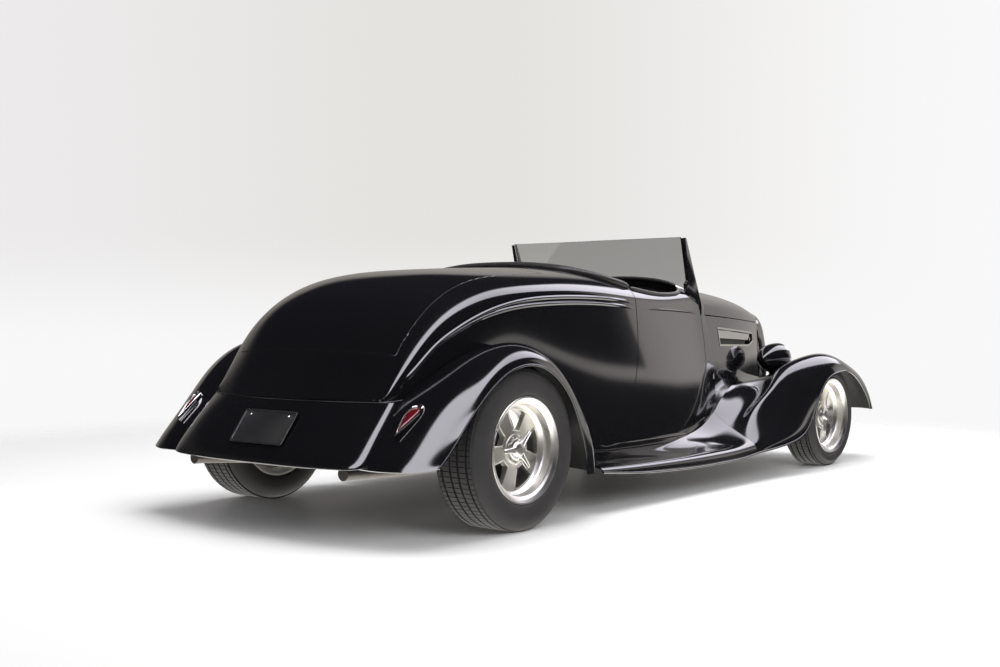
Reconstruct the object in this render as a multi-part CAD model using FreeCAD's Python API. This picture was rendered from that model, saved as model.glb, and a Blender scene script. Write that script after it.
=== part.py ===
# Open two-seat hot rod with full fenders, built in millimetres.
# X runs to the front, Y to the left, Z up. Lengths along X are first taken from the rear axle line,
# and the whole car is moved at the end so that the origin is under the middle of its bounding box.
import FreeCAD, Part
import math
import os

os.makedirs("parts", exist_ok=True)
V = FreeCAD.Vector

# Driving sizes
WHEELBASE = 2845.0
RIM_LIP_R = 209.0
REAR_SECTION = 107.0
FRONT_SECTION = 71.0
REAR_TYRE_W = 225.0
FRONT_TYRE_W = 188.0
REAR_RIM_Y = 816.0
FRONT_RIM_Y = 775.0
REAR_FENDER_RISE = 90.0
FRONT_FENDER_RISE = 60.0
BODY_WALL = 42.0
DOOR_GAP = 5.0
HINGE_PLAY = 0.7
SEATING = 0.3
SHEET = 6.0
HOOD_SHEET = 10.0
RAIL_WIDTH = 50.0
RAIL_HEIGHT = 72.0
RAIL_TOP = 298.0
FLOOR_THICK = 8.0
KINGPIN_Y = 640.0
WINDSHIELD_TOP = 1228.0
POST_Y = 545.0
POST_THICK = 18.0
GLASS_THICK = 8.0
BAR_PITCH = 15.0
LAMP_R = 85.0

# Sizes that follow from them
REAR_TYRE_R = RIM_LIP_R + REAR_SECTION
FRONT_TYRE_R = RIM_LIP_R + FRONT_SECTION
FLOOR_TOP = RAIL_TOP + SEATING + FLOOR_THICK

# The tables of points are drawn for this wheelbase; what lies ahead of the cowl moves with the axle
DRAWN_WHEELBASE = 2845.0
COWL_X = 1912.0


def ahead(x):
    """Place of a drawn x once the front axle has its real distance."""
    share = (x - COWL_X) / (DRAWN_WHEELBASE - COWL_X)
    return x + (WHEELBASE - DRAWN_WHEELBASE) * min(1.0, max(0.0, share))


shapes = {}


def keep(name, *solids):
    """Adds the solids to the list of the sub-part with this name."""
    shapes.setdefault(name, []).extend(solids)


def mirrored(shape):
    return shape.mirror(V(0, 0, 0), V(0, 1, 0))


def both(name, shape):
    keep(name, shape, mirrored(shape))


# Surfaces that run through a grid of points
def settle(line):
    """Poles of the smooth curve that runs through the points of the line."""
    poles = list(line)
    for turn in range(14):
        for k in range(1, len(line) - 1):
            poles[k] = (line[k] * 6 - poles[k - 1] - poles[k + 1]) * 0.25
    return poles


def turned(rows):
    return [list(column) for column in zip(*rows)]


def with_ends(rows):
    first = [a * 2 - b for a, b in zip(rows[0], rows[1])]
    last = [a * 2 - b for a, b in zip(rows[-1], rows[-2])]
    return [first] + rows + [last]


def skin(rows):
    """Bicubic surface through the rows of points."""
    poles = turned([settle(c) for c in turned([settle(r) for r in rows])])
    poles = turned(with_ends(turned(with_ends(poles))))
    m, n = len(poles), len(poles[0])
    surface = Part.BSplineSurface()
    surface.buildFromPolesMultsKnots(poles, [1] * (m + 4), [1] * (n + 4),
                                     list(range(m + 4)), list(range(n + 4)), False, False, 3, 3)
    surface.segment(3, m, 3, n)
    return surface


def inset_rows(rows, depth):
    """The same grid moved by depth along its normals, to the left of row by column."""
    m, n = len(rows), len(rows[0])
    moved = []
    for i in range(m):
        line = []
        for j in range(n):
            along = rows[min(i + 1, m - 1)][j] - rows[max(i - 1, 0)][j]
            across = rows[i][min(j + 1, n - 1)] - rows[i][max(j - 1, 0)]
            normal = along.cross(across)
            normal.normalize()
            line.append(rows[i][j] + normal * depth)
        moved.append(line)
    return moved


def closed_solid(faces):
    shell = Part.makeShell(faces)
    shell.sewShape()
    solid = Part.makeSolid(Part.Shell(shell.Faces) if shell.ShapeType != "Shell" else shell)
    if solid.Volume < 0:
        solid.reverse()
    return solid


def rim_face(a, b):
    """Narrow face between two matching edge curves of a sheet."""
    surface = Part.BSplineSurface()
    surface.buildFromPolesMultsKnots([a.getPoles(), b.getPoles()], [2, 2], a.getMultiplicities(),
                                     [0, 1], a.getKnots(), False, False, 1, 3)
    return surface.toShape()


def panel(rows, depth):
    """Solid sheet between the surface through the rows and the same surface moved by depth."""
    outer = skin(rows)
    inner = skin(inset_rows(rows, depth))
    u0, u1, v0, v1 = outer.bounds()
    faces = [outer.toShape(), inner.toShape()]
    for u in (u0, u1):
        faces.append(rim_face(outer.uIso(u), inner.uIso(u)))
    for v in (v0, v1):
        faces.append(rim_face(outer.vIso(v), inner.vIso(v)))
    return closed_solid(faces)


def outline(points):
    return Part.makePolygon([V(*p) for p in points] + [V(*points[0])])


def prism(points, push):
    return Part.Face(outline(points)).extrude(V(*push))


def smooth_prism(points, push):
    """Prism on a closed smooth curve through the points."""
    curve = Part.BSplineCurve()
    curve.interpolate(Points=[V(*p) for p in points], PeriodicFlag=True)
    return Part.Face(Part.Wire(curve.toShape())).extrude(V(*push))


def box(x0, x1, y0, y1, z0, z1):
    return Part.makeBox(x1 - x0, y1 - y0, z1 - z0, V(x0, y0, z0))


def rod(a, b, radius):
    a, b = V(*a), V(*b)
    return Part.makeCylinder(radius, (b - a).Length, a, b - a)


def tube(points, radius):
    """Round bar along a smooth curve through the points."""
    curve = Part.BSplineCurve()
    curve.interpolate([V(*p) for p in points])
    path = Part.Wire(curve.toShape())
    start = curve.value(curve.FirstParameter)
    way = curve.tangent(curve.FirstParameter)[0]
    ring = Part.Wire(Part.makeCircle(radius, start, way))
    return path.makePipeShell([ring], True, True)


def turned_solid(profile, centre, axis):
    """Solid of revolution: profile points are (distance along axis, radius)."""
    wire = Part.makePolygon([V(r, 0, a) for a, r in profile] + [V(profile[0][1], 0, profile[0][0])])
    solid = Part.Face(wire).revolve(V(0, 0, 0), V(0, 0, 1), 360)
    solid.Placement = FreeCAD.Placement(V(*centre), FreeCAD.Rotation(V(0, 0, 1), V(*axis)))
    return solid


def fused(first, *rest):
    return first.fuse(list(rest)).removeSplitter()


# Body: hoops from the cowl to the tail. Each row gives the belt point, the roof or deck centre,
# the lower edge and how square the shoulder is.
HOOPS = [
    # belt x, y, z; centre x, z; lower x, y, z; squareness
    (1858, 527, 843, 1858, 1010, 1958, 541, 250, 2.4),
    (1700, 558, 852, 1700, 1030, 1745, 573, 240, 3.1),
    (1450, 583, 860, 1450, 1043, 1465, 602, 236, 2.6),
    (1150, 603, 869, 1150, 1062, 1152, 614, 236, 2.4),
    (850, 611, 893, 850, 1068, 850, 616, 238, 2.4),
    (550, 610, 904, 550, 1056, 550, 600, 300, 2.5),
    (250, 602, 890, 250, 1040, 250, 576, 430, 2.5),
    (40, 588, 845, 20, 1012, 40, 568, 470, 2.5),
    (-130, 566, 771, -150, 940, -130, 560, 488, 2.6),
    (-250, 545, 698, -280, 832, -250, 545, 500, 2.7),
    (-340, 523, 616, -385, 706, -340, 526, 506, 2.8),
    (-405, 503, 562, -455, 600, -405, 506, 508, 2.8),
    (-457, 487, 522, -525, 508, -457, 490, 510, 2.8),
]
SIDE_STEPS = 4
CROWN_STEPS = 7
SIDE_BULGE = 20.0


def hoop_row(bx, by, bz, cx, cz, lx, ly, lz, square):
    half = []
    swell = SIDE_BULGE * min(1.0, (bz - lz) / 560.0)
    for k in range(SIDE_STEPS):
        part = k / SIDE_STEPS
        bulge = swell * math.sin(math.pi * part)
        half.append(V(lx + (bx - lx) * part, ly + (by - ly) * part + bulge, lz + (bz - lz) * part))
    for k in range(CROWN_STEPS + 1):
        turn = math.pi / 2 * k / CROWN_STEPS
        y = by * math.cos(turn) ** (2 / square)
        z = bz + (cz - bz) * math.sin(turn) ** (2 / square)
        x = cx + (bx - cx) * (y / by) ** 2
        half.append(V(x, y, z))
    return half + [V(p.x, -p.y, p.z) for p in reversed(half[:-1])]


body_rows = [hoop_row(*hoop) for hoop in HOOPS]
body = panel(body_rows, -BODY_WALL)
whole_wall = body
thick_wall = panel(body_rows, -(BODY_WALL + DOOR_GAP))
print("body", body.isValid(), body.Volume / 1e6)

# Cockpit opening, seen from above
cockpit_points = [
    (812, 0), (822, 230), (862, 400), (960, 508), (1110, 556), (1300, 562), (1480, 552),
    (1600, 535), (1652, 470), (1662, 300), (1664, 0),
]
cockpit_ring = cockpit_points + [(x, -y) for x, y in reversed(cockpit_points[1:-1])]
cockpit = smooth_prism([(x, y, 905) for x, y in cockpit_ring], (0, 0, 400))
body = body.cut(cockpit)

# Door: cut as the whole wall, with a bowed rear seam and an upper edge that leaves the cowl roof whole
DOOR_REAR = [(934, 268), (1020, 440), (1070, 600), (1096, 800), (1102, 1100)]
DOOR_FRONT = 1790.0
DOOR_JAMB_SLOPE = 0.17
DOOR_COWL = [(884, 0), (940, -150), (1100, -180)]
DOOR_SILL_RISE = 1560.0


def door_block(grow, side):
    """Block that cuts the left or right door out of the wall, wider by grow on every side."""
    rear = Part.BSplineCurve()
    low = DOOR_REAR[0][1] - grow
    points = [V(x - 1.08 * grow, 0, z) for x, z in DOOR_REAR]
    points[0] = V(points[0].x - 0.5 * grow, 0, low)
    rear.interpolate(points)
    far = DOOR_FRONT + 60
    (z1, d1), (z2, d2), (z3, d3) = DOOR_COWL
    sill = [points[0], V(DOOR_SILL_RISE, 0, low), V(far, 0, low + 0.264 * (far - DOOR_SILL_RISE)),
            V(far, 0, z1 + grow), V(DOOR_FRONT + d1, 0, z1 + grow),
            V(DOOR_FRONT + d2 + 1.8 * grow, 0, z2 + grow), V(DOOR_FRONT + d3 + 1.8 * grow, 0, z3), points[-1]]
    edges = [rear.toShape()] + [Part.makeLine(a, b) for a, b in zip(sill, sill[1:])]
    face = Part.Face(Part.Wire(Part.__sortEdges__(edges)))
    face.translate(V(0, 420 * side, 0))
    block = face.extrude(V(0, 300 * side, 0))
    front = DOOR_FRONT + grow
    jamb = prism([(700, 400 * side, 200), (front + DOOR_JAMB_SLOPE * (400 - 560), 400 * side, 200),
                  (front + DOOR_JAMB_SLOPE * (740 - 560), 740 * side, 200), (700, 740 * side, 200)], (0, 0, 1000))
    return block.common(jamb)


door_left = body.common(door_block(0.0, 1))
body = body.cut(door_block(DOOR_GAP, 1))
body = body.cut(door_block(DOOR_GAP, -1))
door_room = [thick_wall.common(door_block(DOOR_GAP, side)) for side in (1, -1)]
print("door", door_left.isValid(), len(door_left.Solids), door_left.Volume / 1e6)

# Deck lid: the seam narrows to the tail, and its edge leans so that the lid lifts clear
LID_SEAM = [
    # seam x, y, z; lean of the cut edge in x and y for each unit up
    (560, 458, 1030, 0.0, 0.0),
    (400, 461, 1016, -0.05, 0.1),
    (100, 460, 981, -0.2, 0.35),
    (-130, 458, 892, -0.4, 0.4),
    (-259, 455, 792, -0.6, 0.4),
    (-345, 449, 680, -1.0, 0.4),
    (-374, 300, 692, -1.1, 0.1),
    (-390, 0, 700, -1.1, 0.0),
]


def lid_block(grow):
    rings = []
    for level in (450.0, 1250.0):
        side = []
        for x, y, z, lean_x, lean_y in LID_SEAM:
            out_x = grow if x > 500 else 0.0 if x > -200 else -1.4 * grow
            out_y = grow if y > 400 else 0.0
            side.append((x + out_x + lean_x * (level - z), y + out_y + lean_y * (level - z), level))
        rings.append(outline(side + [(x, -y, z) for x, y, z in reversed(side[:-1])]))
    return Part.makeLoft(rings, True, True)


deck_lid = body.common(lid_block(0.0))
body = body.cut(lid_block(DOOR_GAP))
print("lid", deck_lid.isValid(), len(deck_lid.Solids))
body = max(body.Solids, key=lambda s: s.Volume)

# Hinge pads: they fill the seam at the hinges down to the play the hinge needs
COWL_EDGE = HOOPS[0][0]
HINGE_HEIGHTS = ((400, 450), (760, 810))
pads = []
for side in (1, -1):
    strip = whole_wall.common(door_block(DOOR_GAP + 1, side)).cut(door_block(HINGE_PLAY, side))
    for low, high in HINGE_HEIGHTS:
        pads.append(strip.common(box(930, 1140, -700, 700, low, high)))
strip = whole_wall.common(lid_block(DOOR_GAP + 1)).cut(lid_block(HINGE_PLAY))
for y in (300, -360):
    pads.append(strip.common(box(555, 575, y, y + 60, 900, 1100)))
for y in (290, -330):
    pads.append(box(COWL_EDGE - 2, COWL_EDGE + DOOR_GAP - HINGE_PLAY - 0.9, y, y + 40, 962, 979))
body = body.fuse(pads)
print("body with pads", body.isValid(), len(body.Solids))
body = max(body.Solids, key=lambda s: s.Volume)
keep("body_tub", body)
keep("deck_lid", max(deck_lid.Solids, key=lambda s: s.Volume))
door_left = max(door_left.Solids, key=lambda s: s.Volume)
keep("door_left", door_left)
keep("door_right", mirrored(door_left))

# Hood: crowned top split from the sides along the belt line
HOOD = [
    # edge x, y, z; centre x, z; lower x, y, z; swell of the side and the share of its wave shown
    (1863, 526, 843, 1863, 1009, 1944.8, 539, 330, 20, 0.865),
    (2130, 480, 832, 2150, 993, 2190, 486, 415, 14, 1.0),
    (2400, 424, 820, 2450, 968, 2425, 428, 452, 10, 1.0),
    (2640, 363, 809, 2730, 930, 2672, 354, 458, 9, 1.0),
    (2847, 302, 800, 3005, 872, 2934, 271, 452, 8, 1.0),
]


def hood_top_row(ex, ey, ez, cx, cz, *side):
    half = []
    for k in range(5):
        turn = math.pi / 2 * k / 4
        y = ey * math.cos(turn) ** 0.85
        z = ez + (cz - ez) * math.sin(turn) ** 0.85
        x = cx + (ex - cx) * (y / ey) ** 1.6
        half.append(V(ahead(x), y, z))
    return half + [V(p.x, -p.y, p.z) for p in reversed(half[:-1])]


def hood_side_row(ex, ey, ez, cx, cz, lx, ly, lz, swell, share):
    """Side of the hood: fixed, it stands against the cowl's edge and stops below the crowned top."""
    drop = [0.012, 0.25, 0.5, 0.75, 1.0]
    back = SEATING - DOOR_GAP if ex < COWL_X else 0.0
    return [V(ahead(ex + back + (lx - ex - back) * d), ey + (ly - ey) * d + swell * math.sin(math.pi * d * share),
              ez + (lz - ez) * d) for d in reversed(drop)]


hood_top = panel([hood_top_row(*h) for h in reversed(HOOD)], -14.0)
keep("hood_top", hood_top)
side_rows = [hood_side_row(*h) for h in reversed(HOOD)]
hood_side = panel(side_rows, -HOOD_SHEET).cut(whole_wall)
VENT = [(2030, 768), (2040, 688), (2600, 676), (2700, 700), (2690, 734)]
VENT_FRAME = 10.0


def vent_prism(grow):
    (ax, az), (bx, bz), (cx, cz), (dx, dz), (ex, ez) = VENT
    ring = [(ax - grow, az + grow), (bx - grow, bz - grow), (cx, cz - grow), (dx + grow, dz - grow),
            (ex + grow, ez + grow)]
    return prism([(ahead(x), 300, z) for x, z in ring], (0, 260, 0))


trim_sheet = panel(inset_rows(side_rows, SEATING + 3.0), -3.0)
vent_trim = trim_sheet.common(vent_prism(VENT_FRAME)).cut(vent_prism(0.0))
hood_side = hood_side.cut(vent_prism(0.0))
print("hood", hood_top.isValid(), hood_side.isValid(), vent_trim.isValid(), len(vent_trim.Solids))
both("vent_trims", vent_trim)
both("hood_sides", hood_side)

# Grille shell: from the hood edge to a vee-shaped rim that leans back
SHELL_RING = [(175, 330), (242, 420), (288, 540), (302, 680), (292, 790), (205, 846), (95, 868), (0, 876)]


def shell_row(push, scale_y, scale_z, lean):
    half = []
    for y, z in SHELL_RING:
        edge = 2853 + (803 - min(z, 803)) * 0.24 + 156 * max(0.0, 1 - (y / 300.0) ** 1.6) * (1 if z > 795 else 0.35)
        middle = 330 + 290
        half.append(V(ahead(edge + push + lean * (876 - z)), y * scale_y, middle + (z - middle) * scale_z))
    return half + [V(p.x, -p.y, p.z) for p in reversed(half[:-1])]


grille_rows = [shell_row(120, 0.80, 0.90, 0.10), shell_row(128, 0.84, 0.93, 0.10),
               shell_row(112, 0.90, 0.97, 0.08), shell_row(60, 0.98, 1.0, 0.04), shell_row(0, 1.0, 1.0, 0.0)]
grille_shell = panel(grille_rows, -SHEET)
print("grille", grille_shell.isValid())
keep("grille_shell", grille_shell)
lip = grille_rows[0][:len(SHELL_RING)]
BARS_EACH_SIDE = 14
BAR_DEPTH = 14.0


def lip_at(y, branch):
    """Point of the shell's inner lip at this y: branch 1 is the arch above, branch 0 the lower end."""
    line = lip[4:] if branch else lip[:5]
    line = sorted(line, key=lambda p: p.y)
    for a, b in zip(line, line[1:]):
        if a.y <= y <= b.y:
            return a + (b - a) * ((y - a.y) / (b.y - a.y))
    return line[0] + V(0, y - line[0].y, 0)


def bar_ends(y):
    low = lip_at(abs(y), 0) - V(0, 0, 16 if abs(y) > lip[0].y else -4)
    top = lip_at(abs(y), 1) + V(0, 0, 16)
    return low, top


def bar_front(y, z):
    low, top = bar_ends(y)
    return low.x + (top.x - low.x) * (z - low.z) / (top.z - low.z)


bars = []
for k in range(-BARS_EACH_SIDE, BARS_EACH_SIDE + 1):
    y = k * BAR_PITCH
    low, top = bar_ends(y)
    bars.append(prism([(low.x - BAR_DEPTH, y - 2.5, low.z), (low.x, y - 2.5, low.z), (top.x, y - 2.5, top.z),
                       (top.x - BAR_DEPTH, y - 2.5, top.z)], (0, 5, 0)))
for height, span in ((364.0, lip[0].y + 14), (520.0, 212.0), (680.0, 212.0)):
    steps = [span * k / 5 for k in range(6)]
    front = [(bar_front(y, height) - BAR_DEPTH + 4, y, height) for y in steps]
    back = [(x - 9, y, height) for x, y, z in reversed(front)]
    arm = prism(front + back, (0, 0, 8))
    bars.extend([arm, mirrored(arm)])
grille = bars[0].fuse(bars[1:]).cut(grille_shell)
grille = max(grille.Solids, key=lambda s: s.Volume)
print("bars", grille.isValid(), len(grille.Solids), grille.Volume)
keep("grille_bars", grille)

# Rear fenders. Each row runs from the body to the lip of the wheel opening.
REAR_FENDER = [
    [(548, 596, 186), (535, 690, 186), (505, 765, 184), (455, 822, 184), (385, 836, 188)],
    [(545, 592, 330), (517, 690, 336), (474, 768, 336), (430, 822, 325), (365, 836, 300)],
    [(470, 590, 500), (442, 690, 508), (382, 768, 500), (350, 822, 458), (318, 836, 415)],
    [(310, 588, 630), (297, 690, 645), (258, 768, 632), (250, 820, 582), (238, 836, 535)],
    [(110, 588, 698), (106, 690, 722), (92, 765, 713), (92, 818, 676), (86, 836, 633)],
    [(-90, 584, 690), (-95, 690, 712), (-108, 765, 700), (-112, 818, 665), (-96, 836, 634)],
    [(-255, 552, 610), (-270, 680, 624), (-275, 760, 600), (-262, 815, 570), (-240, 834, 556)],
    [(-385, 506, 520), (-405, 640, 512), (-395, 735, 495), (-365, 804, 460), (-335, 828, 470)],
    [(-500, 478, 420), (-505, 620, 415), (-490, 722, 400), (-450, 792, 376), (-410, 822, 385)],
    [(-572, 474, 330), (-580, 610, 328), (-565, 712, 322), (-520, 780, 312), (-470, 816, 320)],
    [(-606, 476, 276), (-616, 600, 275), (-602, 700, 277), (-556, 772, 280), (-505, 812, 290)],
]


def rows_of(table, base=None, crown=None):
    """Grid of points; with a base and a crown height the rows stand taller or lower above the base."""
    top = max(z for row in table for x, y, z in row)
    stretch = 1.0 if base is None else (crown - base) / (top - base)
    low = 0.0 if base is None else base
    return [[V(ahead(x), y, low + (z - low) * stretch) for x, y, z in row] for row in table]


BOARD_LOW = 150.0
body_block = panel(inset_rows(body_rows, SEATING), -60.0)
side_block = panel(inset_rows(side_rows, SEATING), -40.0)


def outer_part(sheet, *blocks):
    """What stays of the sheet outside the body, which it meets with the seating clearance."""
    for block in blocks:
        sheet = sheet.cut(block)
    return max(sheet.Solids, key=lambda s: s.CenterOfMass.y * s.Volume)


rear_fender = panel(rows_of(REAR_FENDER, BOARD_LOW, 2 * REAR_TYRE_R + REAR_FENDER_RISE), SHEET)
rear_fender = outer_part(rear_fender, body_block)
print("rear fender", rear_fender.isValid(), rear_fender.Volume)
both("rear_fenders", rear_fender)

# Front fenders, nose to running board. Each row runs from the hood side across the valley and the
# ridge to the lip of the wheel opening.
FRONT_FENDER = [
    [(3275, 362, 287), (3375, 440, 284), (3455, 545, 283), (3487, 655, 284), (3402, 772, 286), (3322, 795, 291)],
    [(3235, 350, 375), (3330, 440, 388), (3395, 550, 402), (3432, 662, 403), (3332, 776, 390), (3284, 799, 352)],
    [(3160, 330, 440), (3215, 430, 470), (3275, 550, 502), (3300, 668, 512), (3205, 783, 484), (3150, 808, 450)],
    [(3040, 312, 470), (3062, 415, 496), (3085, 540, 546), (3090, 672, 582), (3032, 790, 550), (2970, 826, 519)],
    [(2860, 258, 474), (2858, 410, 489), (2858, 540, 533), (2855, 682, 618), (2848, 792, 591), (2835, 830, 525)],
    [(2660, 330, 474), (2660, 420, 483), (2655, 552, 531), (2650, 692, 610), (2672, 792, 560), (2690, 828, 494)],
    [(2440, 395, 482), (2445, 470, 478), (2430, 590, 506), (2420, 702, 556), (2485, 793, 465), (2574, 822, 388)],
    [(2240, 450, 468), (2240, 540, 440), (2245, 648, 424), (2235, 715, 450), (2330, 798, 332), (2474, 818, 254)],
    [(2070, 492, 426), (2070, 575, 384), (2075, 650, 345), (2075, 704, 340), (2150, 797, 240), (2296, 816, 178)],
    [(1912, 520, 380), (1912, 590, 310), (1912, 662, 262), (1912, 735, 222), (1912, 786, 188), (1912, 801, 146)],
]
FRONT_CROWN = 2 * FRONT_TYRE_R + FRONT_FENDER_RISE
front_rows = rows_of(FRONT_FENDER, BOARD_LOW, FRONT_CROWN)
front_fender = outer_part(panel(front_rows, SHEET), body_block, side_block)
print("front fender", front_fender.isValid(), front_fender.Volume)
both("front_fenders", front_fender)

# Running boards: the inner edge climbs to the cowl and the outer one turns down
BOARD_SEAM = 1912.0 - SEATING
BOARD = [
    [(BOARD_SEAM, 520, 380), (BOARD_SEAM, 590, 310), (BOARD_SEAM, 662, 262), (BOARD_SEAM, 735, 222),
     (BOARD_SEAM, 786, 188), (BOARD_SEAM, 801, 146)],
    [(1740, 545, 302), (1740, 610, 252), (1740, 670, 220), (1740, 735, 198), (1740, 786, 178), (1740, 800, 132)],
    [(1540, 570, 262), (1540, 625, 228), (1540, 675, 206), (1540, 735, 192), (1540, 786, 174), (1540, 800, 129)],
    [(1280, 580, 243), (1280, 632, 215), (1280, 680, 198), (1280, 735, 188), (1280, 786, 174), (1280, 800, 130)],
    [(900, 584, 244), (900, 632, 218), (900, 680, 202), (900, 735, 193), (900, 786, 180), (900, 799, 146)],
    [(551.4, 560, 250), (551.4, 632, 226), (551.4, 680, 212), (551.4, 735, 203), (551.4, 784, 194), (551.4, 798, 176)],
]
board = outer_part(panel(rows_of(BOARD), SHEET), body_block)
print("board", board.isValid(), board.Volume)
both("running_boards", board)

# Rear pan under the tail
PAN = [
    [(-664, 0, 272), (-660, 250, 272), (-642, 430, 274), (-628, 520, 280)],
    [(-692, 0, 284), (-686, 250, 284), (-660, 430, 286), (-640, 520, 290)],
    [(-618, 0, 390), (-610, 250, 390), (-584, 420, 392), (-556, 520, 394)],
    [(-526, 0, 507.5), (-508, 250, 508.5), (-480, 400, 510), (-458, 489, 509.5)],
]
pan_rows = [list(reversed(row)) + [(x, -y, z) for x, y, z in row[1:]] for row in PAN]
rear_pan = panel(rows_of(pan_rows), SHEET).cut(body_block)
rear_pan = max(rear_pan.Solids, key=lambda s: s.Volume)
print("pan", rear_pan.isValid(), rear_pan.Volume)
keep("rear_pan", rear_pan)

# Front apron below the grille
APRON = [
    [(3150, 0, 330), (3120, 180, 330), (3060, 330, 340)],
    [(3250, 0, 285), (3235, 190, 285), (3200, 355, 290)],
    [(3240, 0, 245), (3225, 190, 247), (3195, 355, 252)],
]
apron_rows = [list(reversed(row)) + [(x, -y, z) for x, y, z in row[1:]] for row in APRON]
front_apron = panel(rows_of(apron_rows), SHEET)
keep("front_apron", front_apron)

# Windshield: raked posts with a wide foot and one flat pane
GLASS_RAKE = 0.333


def glass_x(z):
    return 1615 + (WINDSHIELD_TOP - z) * GLASS_RAKE


post_in = POST_Y - POST_THICK
post = prism([(1617, post_in, WINDSHIELD_TOP - 6), (1643, post_in, WINDSHIELD_TOP - 2), (1797, post_in, 891),
              (1797, post_in, 840), (1625, post_in, 840), (1625, post_in, 974), (1668, post_in, 1015)],
             (0, POST_THICK, 0)).cut(whole_wall)
post = post.cut(door_block(DOOR_GAP + 4, 1))
post = max(post.Solids, key=lambda s: s.CenterOfMass.z)
print("post", post.isValid(), post.Volume)
both("windshield_posts", post)
pane_half = post_in - SEATING
pane = prism([(glass_x(900), -pane_half, 900), (glass_x(900) + GLASS_THICK, -pane_half, 900),
              (glass_x(WINDSHIELD_TOP) + GLASS_THICK, -pane_half, WINDSHIELD_TOP),
              (glass_x(WINDSHIELD_TOP), -pane_half, WINDSHIELD_TOP)], (0, 2 * pane_half, 0))
pane = max(pane.cut(whole_wall).Solids, key=lambda s: s.CenterOfMass.z)
keep("windshield_glass", pane)

# Floor, tunnel, seat bulkhead, boot floor and firewall
FIREWALL_X = 1836.0
FLOOR_LOW = RAIL_TOP + SEATING
TUNNEL_HALF = 150.0
TUNNEL_TOP = 500.0
BOOT_FLOOR = 512.0
BULKHEAD_X = 690.0


def inside_body(shape, *rooms):
    for cutter in (whole_wall,) + rooms:
        shape = shape.cut(cutter)
    return max(shape.Solids, key=lambda s: s.Volume)


floor = fused(
    box(BULKHEAD_X, FIREWALL_X, -600, 600, FLOOR_LOW, FLOOR_TOP),
    box(BULKHEAD_X, FIREWALL_X, -TUNNEL_HALF, TUNNEL_HALF, FLOOR_LOW, TUNNEL_TOP),
    box(BULKHEAD_X, BULKHEAD_X + FLOOR_THICK, -600, 600, FLOOR_LOW, 880),
    box(-400, BULKHEAD_X + FLOOR_THICK, -560, 560, BOOT_FLOOR, BOOT_FLOOR + FLOOR_THICK),
    box(FIREWALL_X - FLOOR_THICK, FIREWALL_X, -600, 600, FLOOR_LOW, 980),
)
floor = floor.cut(box(600, 1900, -TUNNEL_HALF + FLOOR_THICK, TUNNEL_HALF - FLOOR_THICK, 290, TUNNEL_TOP - FLOOR_THICK))
floor = inside_body(floor, *door_room)
keep("floor_pan", floor)

# Seat: one bench that steps over the tunnel
SEAT_HALF = 480.0
tunnel_room = box(600, 1500, -TUNNEL_HALF - 2, TUNNEL_HALF + 2, 290, TUNNEL_TOP + 2)
seat_rear = BULKHEAD_X + FLOOR_THICK + SEATING
seat_back = prism([(seat_rear + 12, -SEAT_HALF, 470), (seat_rear + 162, -SEAT_HALF, 470),
                   (seat_rear + 100, -SEAT_HALF, 900), (seat_rear + 45, -SEAT_HALF, 930),
                   (seat_rear, -SEAT_HALF, 900)], (0, 2 * SEAT_HALF, 0)).cut(tunnel_room)
cushion_low = FLOOR_TOP + SEATING
seat_cushion = prism([(862, -SEAT_HALF, cushion_low), (1290, -SEAT_HALF, cushion_low), (1310, -SEAT_HALF, 470),
                      (1270, -SEAT_HALF, 500), (868, -SEAT_HALF, 462)], (0, 2 * SEAT_HALF, 0)).cut(tunnel_room)
keep("seat_back", seat_back)
keep("seat_cushion", *seat_cushion.Solids)

# Dashboard and steering column
dash = prism([(1655, -520, 830), (1665, -520, 1010), (1700, -520, 1010), (1700, -520, 830)], (0, 1040, 0))
dash = inside_body(dash, *door_room)
keep("dashboard", dash)
STEER_HUB = V(1452, 330, 760)
COLUMN_R = 20.0
column_way = V(-328, 0, 200)
column_way.normalize()
column_low = STEER_HUB - column_way * ((FIREWALL_X - FLOOR_THICK - SEATING - COLUMN_R * column_way.z - STEER_HUB.x)
                                       / -column_way.x)
keep("steering_column", Part.makeCylinder(COLUMN_R, (STEER_HUB - column_low).Length, column_low, column_way))
HUB_PLAY = 0.5
HUB_HALF = 22.0
wheel_centre = STEER_HUB + column_way * (HUB_HALF + HUB_PLAY)
wheel_turn = FreeCAD.Rotation(V(0, 0, 1), column_way)
rim = Part.makeTorus(172, 14)
hub = Part.makeCylinder(34, HUB_HALF + 8, V(0, 0, -HUB_HALF))
spokes = []
for angle in (90, 210, 330):
    spoke = box(0, 172, -11, 11, -4, 4)
    spoke.rotate(V(0, 0, 0), V(0, 0, 1), angle)
    spokes.append(spoke)
steering_wheel = rim.fuse([hub] + spokes)
steering_wheel.Placement = FreeCAD.Placement(wheel_centre, wheel_turn)
keep("steering_wheel", *steering_wheel.Solids)

# Frame rails and cross members
RAIL_MID = RAIL_TOP - RAIL_HEIGHT / 2
RAIL_LOW = RAIL_TOP - RAIL_HEIGHT
RAILS = [(-520, 345, 395), (-330, 350, 425), (0, 358, 440), (300, 365, 400), (560, 372, RAIL_MID),
         (2300, 372, RAIL_MID), (2480, 345, RAIL_MID + 20), (2700, 305, 325), (3140, 290, 330)]
CROSS_FRONT_TOP = 330.0


def rail():
    wires = []
    half_y, half_z = RAIL_WIDTH / 2, RAIL_HEIGHT / 2
    for x, y, z in RAILS:
        x = ahead(x)
        wires.append(outline([(x, y - half_y, z - half_z), (x, y + half_y, z - half_z),
                              (x, y + half_y, z + half_z), (x, y - half_y, z + half_z)]))
    return Part.makeLoft(wires, True, True)


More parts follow.
